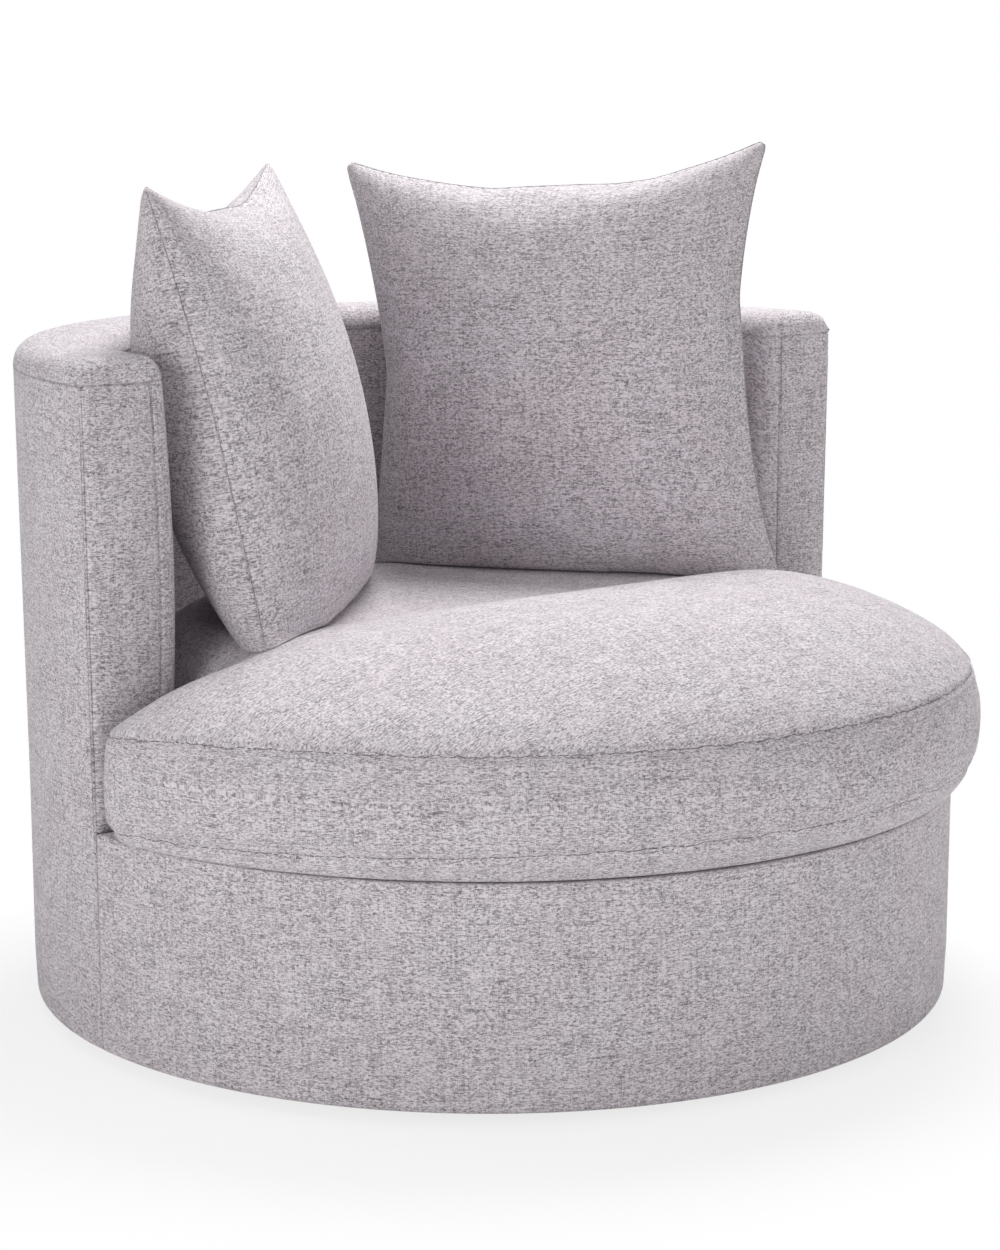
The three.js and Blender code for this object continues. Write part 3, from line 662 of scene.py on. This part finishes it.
def make_tub_covers():
    form = tub_form()
    covers = {
        "outer_back": (OUTER, "outer_back_cover", along_wall(DRUM)),
        "inner_back": (INNER, "inner_back_cover", along_wall(TUB)),
        "top_band_cover": (BAND, "top_band", along_wall((TUB + DRUM) / 2)),
        "left_arm_front": (LEFT_PANEL, "left_arm_panel", across_front),
        "right_arm_front": (RIGHT_PANEL, "right_arm_panel", across_front),
    }
    for name, (which, node, place) in covers.items():
        bm = cover_of(form, which)
        draw_in_edges(bm, CREASE)
        mesh = mesh_of(name, bm)
        set_weave(mesh, place)
        piece = thicken(put(name, mesh, upholstery, "chair", [node]), COVER)
    surface = surface_of(mesh_of("tub_form", form))
    rows = []
    for side in (1, -1):
        for x in (ARM_SEAM - 0.0045, ARM_SEAM + 0.004):
            points = [(side * x, -0.02, DECK + 0.02 + 0.005 * i) for i in range(84)]
            rows.append(laid_on(surface, points))
    put_stitches("arm_stitches", rows, "chair")
    lines = []
    for side in (1, -1):
        lines.append([(side * ARM_SEAM, -0.02, DECK + 0.005 + 0.005 * i) for i in range(89)])
        lines.append([(side * (DRUM + 0.02), -0.02, DECK + 0.01 * i) for i in range(43)])
    turns = [math.radians(-89 + 2 * i) for i in range(90)]
    for reach, part in ((0.53, turns[2:-2]), (0.37, turns)):
        lines.append([(reach * math.sin(turn), reach * math.cos(turn), BAND_SEAM) for turn in part])
    lines = [laid_on(surface, line) for line in lines]
    put_seams("tub_seams", lines, "chair", soft_seam_shade, thick=SEAM_FOLD, sink=0.00025)


# The padding behind the rounded ends of the arms stops short of their covers
def make_padding():
    for name, node in (("inner_padding", "inner_back_foam"), ("top_padding", "top_foam")):
        bm = copy_of_node(node)
        for vert in bm.verts:
            if vert.co.y < 0.01:
                vert.co.y += 0.014
        put(name, mesh_of(name, bm), foam, "chair", [node]).data.shade_flat()


def make_drum_front():
    bm = bmesh.new()
    corners = wire(bm, DRUM_PROFILE + [(DRUM - HEM, 0, DECK)])
    round_corner(bm, corners[3], 0.0035, 3)
    round_corner(bm, corners[1], HEM_ROUND, 4)
    spun = bm.verts[:] + bm.edges[:]
    bmesh.ops.spin(bm, geom=spun, cent=(0, 0, 0), axis=(0, 0, 1), angle=-math.pi, steps=120)
    cut_heights(bm, [0.03 * i for i in range(1, 8)])
    cut_at(bm, (0, -0.003, 0), (0, 1, 0))
    bmesh.ops.recalc_face_normals(bm, faces=bm.faces)
    side = min(bm.faces, key=lambda f: abs(f.calc_center_median().z - 0.12))
    if side.normal.dot(side.calc_center_median()) < 0:
        bmesh.ops.reverse_faces(bm, faces=bm.faces)

    def place(points, middles, normals):
        along = np.arctan2(points[:, 0], -points[:, 1]) * DRUM
        return along, points[:, 2] + (DRUM - radii(points)) * np.where(middles[:, 2] < 0.1, -1, 1)

    draw_in_edges(bm, CREASE)
    mesh = mesh_of("drum_front", bm)
    set_weave(mesh, place)
    piece = thicken(put("drum_front", mesh, upholstery, "chair", ["drum_cover"]), COVER)


def flat_weave(points, middles, normals):
    return points[:, 0], points[:, 1]


def make_deck():
    bm = copy_of_node("deck_pad")
    bmesh.ops.dissolve_limit(bm, angle_limit=0.02, verts=bm.verts, edges=bm.edges)
    rim = [e for e in bm.edges if e.is_manifold and e.calc_face_angle() > 1 and all(
        v.co.z > DECK - 0.002 for v in e.verts
    )]
    round_edges(bm, rim, 0.005, 3)
    mesh = mesh_of("deck_top", bm)
    set_weave(mesh, flat_weave)
    piece = put("deck_top", mesh, upholstery, "chair", ["deck_pad"])
    piece.data.shade_smooth()


def make_dust_cover():
    mesh = mesh_of("under_cloth", copy_of_node("dust_cover"))
    set_weave(mesh, flat_weave)
    piece = put("under_cloth", mesh, lining, "chair", ["dust_cover"])
    piece.data.shade_flat()


# Cloth simulation under pressure, without gravity. Returns the swollen mesh.
def swell(piece, pressure, frames, stiffness, bending, pins=(), volume=0.0):
    cloth = piece.modifiers.new("cloth", "CLOTH")
    settings = cloth.settings
    settings.quality = 6
    settings.mass = 0.3
    settings.air_damping = 2
    settings.tension_stiffness = stiffness
    settings.compression_stiffness = stiffness
    settings.shear_stiffness = stiffness * 0.6
    settings.bending_stiffness = bending
    settings.use_pressure = True
    settings.uniform_pressure_force = pressure
    if volume:
        settings.use_pressure_volume = True
        settings.target_volume = volume
    settings.effector_weights.gravity = 0
    if pins:
        hold = piece.vertex_groups.new(name="hold")
        for weight, chosen in pins:
            hold.add(chosen, weight, "REPLACE")
        settings.vertex_group_mass = "hold"
    cloth.point_cache.frame_start = 1
    cloth.point_cache.frame_end = frames
    for number in range(1, frames + 1):
        scene.frame_set(number)
        bpy.context.view_layer.update()
    graph = bpy.context.evaluated_depsgraph_get()
    mesh = bpy.data.meshes.new_from_object(piece.evaluated_get(graph))
    piece.modifiers.clear()
    piece.vertex_groups.clear()
    scene.frame_set(1)
    return mesh


def loose_piece(name, mesh):
    piece = bpy.data.objects.new(name, mesh)
    scene.collection.objects.link(piece)
    return piece


def capped(mesh, start, most):
    now = points_of(mesh)
    move = now - start
    size = np.linalg.norm(move, axis=1, keepdims=True)
    set_points(mesh, start + move * np.minimum(1, most / np.maximum(size, 1e-9)))


def applied(piece):
    graph = bpy.context.evaluated_depsgraph_get()
    mesh = bpy.data.meshes.new_from_object(piece.evaluated_get(graph))
    piece.modifiers.clear()
    piece.data = mesh
    return mesh


# Seat cushion: its outline in plan and its two seams
def arc_points(cx, cy, radius, start, end, step):
    count = max(2, round(abs(end - start) * radius / step))
    turns = [start + (end - start) * i / count for i in range(count + 1)]
    return [(cx + radius * math.cos(turn), cy + radius * math.sin(turn)) for turn in turns]


def line_points(first, second, step):
    length = math.dist(first, second)
    count = max(1, round(length / step))
    return [tuple(a + (b - a) * i / count for a, b in zip(first, second)) for i in range(count + 1)]


def seat_outline(step=0.006):
    ear_y = -EAR_GAP - EAR
    ear_x = math.sqrt((SEAT_FRONT - EAR) ** 2 - ear_y ** 2)
    turn = math.asin(-ear_y / (SEAT_FRONT - EAR))
    left_ear = arc_points(ear_x, ear_y, EAR, -turn, math.pi / 2, step)
    return [
        *arc_points(0, 0, SEAT_BACK, 0, math.pi, step),
        *line_points((-SEAT_BACK, 0), (-SEAT_BACK, -EAR_GAP), step),
        *line_points((-SEAT_BACK, -EAR_GAP), (-ear_x, -EAR_GAP), step),
        *[(-x, y) for x, y in reversed(left_ear)],
        *arc_points(0, 0, SEAT_FRONT, math.pi + turn, 2 * math.pi - turn, step),
        *left_ear,
        *line_points((ear_x, -EAR_GAP), (SEAT_BACK, -EAR_GAP), step),
    ]


# Both seams dip towards the ears, and the top of the sitter's left ear has slumped a little more
def seam_drop(points, power):
    turn = np.arccos(np.clip(-points[:, 1] / SEAT_FRONT, 0, 1))
    return DROOP * (turn / (math.pi / 2)) ** power


def slump(points):
    turn = np.arcsin(np.clip(points[:, 0] / SEAT_FRONT, -1, 1))
    return SLUMP * eased((turn - 0.45) / 0.8) * eased((0.06 - points[:, 1]) / 0.06)


def bottom_seam(points):
    return SEAT_SEAM - seam_drop(points, 2)


def top_seam(points):
    return SEAT_SEAM + BOXING - seam_drop(points, 6)


def at_height(outline, heights, spread=1.0):
    return np.column_stack([outline * spread, heights])


# Puts a line of points on a surface, with the surface's normals
def laid_on(tree, points):
    found = []
    for point in points:
        place, normal, _, _ = tree.find_nearest(Vector(point))
        found.append((place, normal))
    return found


# Presses a groove along lines of points, deepest on the line and fading out at the given width
def press_groove(mesh, lines, depth, width):
    points = points_of(mesh)
    normals = np.zeros(len(mesh.vertices) * 3)
    mesh.vertices.foreach_get("normal", normals)
    normals = normals.reshape(-1, 3)
    count = sum(len(line) for line in lines)
    near = KDTree(count)
    number = 0
    for line in lines:
        for place, _ in line:
            near.insert(place, number)
            number += 1
    near.balance()
    for i, point in enumerate(points):
        _, _, distance = near.find(Vector(point))
        if distance < width:
            share = distance / width
            points[i] -= normals[i] * depth * (1 - share ** 2) ** 2
    set_points(mesh, points)


# Where each stitch of a row goes, and how it is turned
def stitch_places(line, length=0.0042, gap=0.0022, thick=0.0009, sink=0.0002):
    places = []
    travelled = 0.0
    target = length / 2
    size = Matrix.Diagonal((length / 2, thick / 2, thick / 2, 1))
    for (here, normal), (after, _) in zip(line, line[1:]):
        step = (after - here).length
        if step < 1e-6:
            continue
        along = (after - here) / step
        up = (normal - along * normal.dot(along)).normalized()
        turn = Matrix((along, up.cross(along), up)).transposed().to_4x4()
        while travelled + step >= target:
            place = here.lerp(after, (target - travelled) / step) - up * sink
            places.append(Matrix.Translation(place) @ turn @ size)
            target += length + gap
        travelled += step
    return places


# Copies of a small shape, one at each place
def repeated(make, places, batch=40):
    whole = bmesh.new()
    mesh = bpy.data.meshes.new("batch")
    for start in range(0, len(places), batch):
        some = bmesh.new()
        for place in places[start:start + batch]:
            make(some, place)
        some.to_mesh(mesh)
        some.free()
        whole.from_mesh(mesh)
    bpy.data.meshes.remove(mesh)
    return whole


def thread_bead(bm, place):
    bmesh.ops.create_uvsphere(bm, u_segments=6, v_segments=4, radius=1, matrix=place)


def crossways(points, middles, normals):
    return points[:, 0] + points[:, 1], points[:, 2] + points[:, 1]


def put_stitches(name, rows, body):
    mesh = mesh_of(name, repeated(thread_bead, [place for row in rows for place in stitch_places(row)]))
    set_weave(mesh, crossways)
    return put(name, mesh, thread, body)


# The pinched cloth at the bottom of a seam, a thin fold along each line, in a darker cloth that paints
# the shade in the seam's groove
def put_seams(name, lines, body, cloth, thick=0.0011, sink=0.0002, closed=False):
    curve = bpy.data.curves.new(name, "CURVE")
    curve.dimensions = "3D"
    curve.bevel_depth = thick / 2
    curve.bevel_resolution = 1
    for line in lines:
        spline = curve.splines.new("POLY")
        spline.points.add(len(line) - 1)
        for point, (place, normal) in zip(spline.points, line):
            point.co = (*(place - normal * sink), 1)
        spline.use_cyclic_u = closed
    fold = bpy.data.objects.new(name, curve)
    scene.collection.objects.link(fold)
    mesh = bpy.data.meshes.new_from_object(fold.evaluated_get(bpy.context.evaluated_depsgraph_get()))
    bpy.data.objects.remove(fold)
    mesh.name = name
    set_weave(mesh, crossways)
    return put(name, mesh, cloth, body)


def surface_of(mesh):
    return BVHTree.FromPolygons(
        [v.co for v in mesh.vertices], [list(p.vertices) for p in mesh.polygons]
    )


def distances(points, line):
    near = KDTree(len(line))
    for i, (x, y) in enumerate(line):
        near.insert((x, y, 0), i)
    near.balance()
    return np.array([near.find((x, y, 0))[2] for x, y in points[:, :2]])


# The crown rises gently from the front seam to the middle and falls quickly to the seam inside the tub.
# It is a little lower under the loose cushions, and towards the sitter's right.
def crown_seat(mesh, outline):
    points = points_of(mesh)
    seam = top_seam(points)
    above = points[:, 2] > seam
    in_front = outline[:, 1] < -EAR_GAP - EAR * 0.45
    front = np.clip(distances(points[above], outline[in_front]) / FRONT_REACH, 0, 1)
    rear = np.clip(distances(points[above], outline[~in_front]) / REAR_REACH, 0, 1)
    middle = CROWN - SIDE_FALL * eased((-points[above, 0] - 0.05) / 0.3)
    height = middle + (REAR_CROWN - middle) * eased((points[above, 1] + 0.15) / 0.2)
    points[above, 2] = seam[above] + height * (1 - (1 - front) ** 2) * (1 - (1 - rear) ** 2)
    foot = bottom_seam(points)
    points[:, 2] -= slump(points) * np.clip((points[:, 2] - foot) / (seam - foot), 0, 1)
    set_points(mesh, points)


def voxels(piece, size, smooth):
    remesh = piece.modifiers.new("remesh", "REMESH")
    remesh.mode = "VOXEL"
    remesh.voxel_size = size
    if smooth:
        ease = piece.modifiers.new("ease", "SMOOTH")
        ease.factor = 0.5
        ease.iterations = smooth
    return applied(piece)


def make_seat():
    outline = np.array(seat_outline())
    piece = loose_piece("seat", mesh_of("seat", copy_of_node("seat_cushion")))
    crown_seat(voxels(piece, 0.008, 0), np.array(seat_outline(0.0015)))
    mesh = voxels(piece, 0.007, 5)
    start = points_of(mesh)
    hold = np.nonzero(start[:, 2] < DECK + 0.004)[0].tolist()
    piece.data = swell(piece, 4, 12, 12, 2.0, pins=[(1.0, hold)])
    capped(piece.data, start, 0.006)
    finer = piece.modifiers.new("finer", "SUBSURF")
    finer.levels = finer.render_levels = 1
    mesh = applied(piece)
    bpy.data.objects.remove(piece)

    top = top_seam(outline) - slump(outline)
    low = bottom_seam(outline)
    surface = surface_of(mesh)
    top_line = laid_on(surface, at_height(outline, top))
    low_line = laid_on(surface, at_height(outline, low))
    press_groove(mesh, [top_line, low_line], 0.003, 0.006)
    surface = surface_of(mesh)
    top_line = laid_on(surface, [place for place, _ in top_line])
    low_line = laid_on(surface, [place for place, _ in low_line])
    top_stitch = laid_on(surface, at_height(outline, top - TOP_STITCH, 1.01))
    low_stitch = laid_on(surface, at_height(outline, low + LOW_STITCH, 1.01))
    press_groove(mesh, [top_stitch, low_stitch], 0.0008, 0.0035)

    # The top and the underside lie flat in the cloth, and the boxing goes round them
    turns = np.arctan2(outline[:, 0], -outline[:, 1])
    order = np.argsort(turns)
    turns, reaches = turns[order], radii(outline)[order]
    crown = points_of(mesh)[:, 2].max()

    def place(points, middles, normals):
        turn = np.arctan2(points[:, 0], -points[:, 1])
        other = np.arctan2(middles[:, 0], -middles[:, 1])
        turn = np.where(turn - other > math.pi, turn - 2 * math.pi, turn)
        turn = np.where(other - turn > math.pi, turn + 2 * math.pi, turn)
        across = np.maximum(radii(points), 0.02)
        tuck = 0.8 * (np.interp(turn, turns, reaches) - across)
        up = points[:, 2] + np.where(points[:, 2] > SEAT_SEAM + BOXING / 2, tuck, -tuck)
        grow = 1 + 0.6 * (crown - points[:, 2]) / across
        above = middles[:, 2] > top_seam(middles) - slump(middles) - 0.001
        below = (middles[:, 2] < bottom_seam(middles)) & (normals[:, 2] < -0.75)
        along = np.where(above, points[:, 0] * grow, np.where(below, points[:, 0], turn * DRUM))
        return along, np.where(above, points[:, 1] * grow, np.where(below, points[:, 1] + 3, up))

    set_weave(mesh, place)
    seat = put("seat_cushion_cover", mesh, upholstery, "seat", ["seat_cushion"])
    put_stitches("seat_stitches", [top_stitch, low_stitch], "seat")
    put_seams("seat_seams", [top_line, low_line], "seat", seam_shade_cloth, closed=True)
    return surface


# One loose cushion, sewn from two squares and filled, in its own place: face towards -Y, standing on
# its edge, its middle at the origin. A share of its form is the swollen cloth's own, with its puckers,
# and the rest is the plump cushion of the fibre fill, with its edges drawn in between rounded tips.
def filled_square():
    cells = 44
    bm = bmesh.new()
    half = SCATTER / 2
    bmesh.ops.create_grid(bm, x_segments=cells, y_segments=cells, size=half)
    bmesh.ops.rotate(bm, verts=bm.verts, cent=(0, 0, 0), matrix=Matrix.Rotation(math.pi / 2, 3, "X"))
    for vert in bm.verts:
        u, v = vert.co.x / half, vert.co.z / half
        vert.co.y = -0.012 * (1 - u ** 4) * (1 - v ** 4)
    back = bmesh.ops.duplicate(bm, geom=bm.verts[:] + bm.edges[:] + bm.faces[:])["geom"]
    bmesh.ops.scale(bm, vec=(1, -1, 1), verts=[g for g in back if isinstance(g, bmesh.types.BMVert)])
    bmesh.ops.remove_doubles(bm, verts=bm.verts, dist=1e-5)
    bmesh.ops.recalc_face_normals(bm, faces=bm.faces)
    piece = loose_piece("square", mesh_of("square", bm))
    flat = points_of(piece.data)
    u, v, side = flat[:, 0] / half, flat[:, 2] / half, np.sign(flat[:, 1])
    across, up = (0.35 * w + 0.65 * np.sin(np.pi / 2 * w) for w in (u, v))
    deep = np.where(side > 0, 0.55, 0.4)
    plump = half * TRIM * np.stack([
        across * (1 - (0.175 + 0.03 * u) * (1 - v ** 2)),
        side * (deep - 0.05 * v) * np.sqrt(np.clip((1 - across ** 2) * (1 - up ** 2), 0, 1)),
        up * (1 - (0.11 + 0.11 * v) * (1 - u ** 2)),
    ], axis=1)
    tip = (1 - TIP_ROUND * (u * v) ** 12)[:, None]
    mesh = swell(piece, 1.0, 36, 15, 0.5, volume=0.02)
    cloth = points_of(mesh)
    cloth *= SCATTER * TRIM / np.ptp(cloth[:, 0])
    set_points(mesh, (CLOTH_SHARE * cloth + (1 - CLOTH_SHARE) * plump) * tip)
    bpy.data.objects.remove(piece)
    set_weave(mesh, lambda points, middles, normals: weave_of_square(flat, mesh, normals))
    rim = np.nonzero(np.maximum(abs(u), abs(v)) > 0.999)[0]
    return mesh, u, v, rim[np.argsort(np.arctan2(v[rim], u[rim]))]


# The cushion's cloth keeps the places that it had in the flat squares
def weave_of_square(flat, mesh, normals):
    corners = np.zeros(len(mesh.loops), int)
    mesh.loops.foreach_get("vertex_index", corners)
    return flat[corners, 0] + np.where(normals[:, 1] > 0, 2, 0), flat[corners, 2]


# Lifts what would sink into the seat, and keeps a cushion inside the tub
def rest_in_tub(points, seat):
    for point in points:
        found, _, _, _ = seat.ray_cast(Vector((point[0], point[1], 1)), Vector((0, 0, -1)))
        if found:
            point[2] = max(point[2], found.z + 0.0012)
    reach = np.hypot(points[:, 0], points[:, 1])
    over = np.clip((WALL + 0.012 - points[:, 2]) / 0.02, 0, 1) * np.clip(reach - TUB + 0.003, 0, 1)
    points[:, :2] *= (1 - over / reach)[:, None]


# Turns a copy of the filled square to its place, and draws its four tips to the targets. These are in
# drum radii, from the hem up: bottom and top on the sitter's right, then top and bottom on the left.
def make_scatter(name, node, square, seat, turn, lean, roll, targets):
    mesh = square[0].copy()
    points = points_of(mesh)
    u, v = (square[1] + 1) / 2, (square[2] + 1) / 2
    places = ((0, 0), (0, 1), (1, 1), (1, 0))
    corners = [int(np.argmin((u - a) ** 2 + (v - b) ** 2)) for a, b in places]
    turned = (
        Matrix.Rotation(math.radians(turn), 3, "Z")
        @ Matrix.Rotation(math.radians(-lean), 3, "X")
        @ Matrix.Rotation(math.radians(-roll), 3, "Y")
    )
    points = points @ np.array(turned).T
    targets = np.array(targets) * DRUM
    targets[:, 2] += FLOOR_GAP
    shares = np.stack([(1 - u) * (1 - v), (1 - u) * v, u * v, u * (1 - v)], axis=1)
    fit = targets - points[corners]
    points += shares @ fit
    rest_in_tub(points, seat)
    set_points(mesh, points)
    seam = points[square[3]]
    piece = loose_piece(name, mesh)
    finer = piece.modifiers.new("finer", "SUBSURF")
    finer.levels = finer.render_levels = 1
    mesh = applied(piece)
    bpy.data.objects.remove(piece)
    body = "right_scatter" if node.startswith("right") else "left_scatter"
    press_groove(mesh, [laid_on(surface_of(mesh), seam)], 0.0016, 0.005)
    line = laid_on(surface_of(mesh), seam)
    put(name, mesh, upholstery, body, [node])
    put_seams(name + "_seam", [line], body, soft_seam_shade, thick=SEAM_FOLD, closed=True)


def make_zip():
    low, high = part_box("seat_cushion_zip")
    middle = (low.z + high.z) / 2
    bm = bmesh.new()
    wire(bm, [
        (0, 0.3945, middle - 0.011),
        (0, 0.396, middle - 0.003),
        (0, 0.396, middle + 0.003),
        (0, 0.3945, middle + 0.011),
    ])
    bmesh.ops.rotate(bm, verts=bm.verts, cent=(0, 0, 0), matrix=Matrix.Rotation(-ZIP_REACH, 3, "Z"))
    spun = bm.verts[:] + bm.edges[:]
    bmesh.ops.spin(bm, geom=spun, cent=(0, 0, 0), axis=(0, 0, 1), angle=2 * ZIP_REACH, steps=60)
    bmesh.ops.recalc_face_normals(bm, faces=bm.faces)
    if sum(f.normal.dot(f.calc_center_median()) for f in bm.faces) < 0:
        bmesh.ops.reverse_faces(bm, faces=bm.faces)
    mesh = mesh_of("zip_tape", bm)
    set_weave(mesh, along_wall(TUB))
    tape = thicken(put("zip_tape", mesh, lining, "seat", ["seat_cushion_zip"]), 0.001)
    tooth = Matrix.Translation((0, 0.3966, middle)) @ Matrix.Diagonal((0.0011, 0.0011, 0.0028, 1))
    turns = [ZIP_REACH * (1.92 * i / (ZIP_TEETH - 1) - 0.96) for i in range(ZIP_TEETH)]
    bm = repeated(thread_bead, [Matrix.Rotation(turn, 4, "Z") @ tooth for turn in turns])
    where = Matrix.Rotation(ZIP_REACH * 0.93, 4, "Z") @ Matrix.Translation((0, 0.3975, middle))
    where = where @ Matrix.Diagonal((0.014, 0.003, 0.009, 1))
    slider = bmesh.ops.create_cube(bm, size=1, matrix=where)["verts"]
    edges = {e for v in slider for e in v.link_edges}
    round_edges(bm, list(edges), 0.0009, 2)
    put("zip_teeth", mesh_of("zip_teeth", bm), zip_metal, "seat", ())


# The rays that see the white backdrop
def straight_rays(tree):
    path = add_node(tree, "ShaderNodeLightPath")
    seen = maths(tree, "MAXIMUM", path.outputs["Is Glossy Ray"], path.outputs["Is Transmission Ray"])
    return maths(tree, "MAXIMUM", path.outputs["Is Camera Ray"], seen)


# Floor, light and backdrop
def set_stage():
    bm = bmesh.new()
    bmesh.ops.create_grid(bm, x_segments=1, y_segments=1, size=14)
    mesh = bpy.data.meshes.new("floor")
    bm.to_mesh(mesh)
    bm.free()
    floor = bpy.data.objects.new("floor", mesh)
    scene.collection.objects.link(floor)
    material, tree, shader = new_material("floor_paint")
    shader.inputs["Base Color"].default_value = (0.92, 0.92, 0.92, 1)
    shader.inputs["Roughness"].default_value = 0.9
    white = add_node(tree, "ShaderNodeEmission")
    mix = add_node(tree, "ShaderNodeMixShader")
    where = add_node(tree, "ShaderNodeTexCoord")
    reach = add_node(tree, "ShaderNodeVectorMath", operation="LENGTH")
    link(tree, where.outputs["Object"], reach.inputs[0])
    paleness = between(tree, reach.outputs["Value"], 0.45, 1.3)
    paleness = maths(tree, "MULTIPLY_ADD", paleness, 0.22, 0.78)
    link(tree, maths(tree, "MULTIPLY", straight_rays(tree), paleness), mix.inputs[0])
    link(tree, shader.outputs[0], mix.inputs[1])
    link(tree, white.outputs[0], mix.inputs[2])
    link(tree, mix.outputs[0], tree.nodes["Material Output"].inputs["Surface"])
    mesh.materials.append(material)

    world = bpy.data.worlds.new("studio")
    world.use_nodes = True
    scene.world = world
    tree = world.node_tree
    soft = tree.nodes["Background"]
    soft.inputs["Color"].default_value = (0.97, 0.98, 1, 1)
    soft.inputs["Strength"].default_value = 0.15
    white = add_node(tree, "ShaderNodeBackground")
    mix = add_node(tree, "ShaderNodeMixShader")
    link(tree, straight_rays(tree), mix.inputs[0])
    link(tree, soft.outputs[0], mix.inputs[1])
    link(tree, white.outputs[0], mix.inputs[2])
    white.inputs["Color"].default_value = (1, 1, 1, 1)
    link(tree, mix.outputs[0], tree.nodes["World Output"].inputs["Surface"])

    for name, place, size, power in (
        ("top_light", (1.0, 0.7, 3.2), 1.6, 98),
        ("rear_light", (-1.2, 0.9, 3.0), 1.6, 15),
        ("left_light", (-3.0, -0.9, 1.0), 1.6, 30),
        ("front_left_light", (-1.8, -3.2, 1.3), 2.0, 9),
        ("front_right_light", (1.6, -3.2, 1.8), 2.0, 28),
    ):
        data = bpy.data.lights.new(name, "AREA")
        data.shape = "DISK"
        data.size = size
        data.energy = power
        lamp = bpy.data.objects.new(name, data)
        lamp.location = place
        aim = Vector((0, 0, 0.4)) - Vector(place)
        lamp.rotation_euler = aim.to_track_quat("-Z", "Y").to_euler()
        scene.collection.objects.link(lamp)


make_tub_covers()
make_padding()
make_drum_front()
make_deck()
make_dust_cover()
seat_surface = make_seat()
make_zip()
square = filled_square()
make_scatter(
    "right_cushion", "right_scatter_cushion", square, seat_surface, 42.1, 11.5, 1,
    [(-.665, -.148, .761), (-.806, .072, 1.721), (-.079, .729, 1.738), (.064, .595, .791)],
)
make_scatter(
    "left_cushion", "left_scatter_cushion", square, seat_surface, -55.2, 1.9, 3.2,
    [(.174, .682, .771), (.169, .745, 1.735), (.727, -.058, 1.79), (.732, -.121, .826)],
)
set_stage()
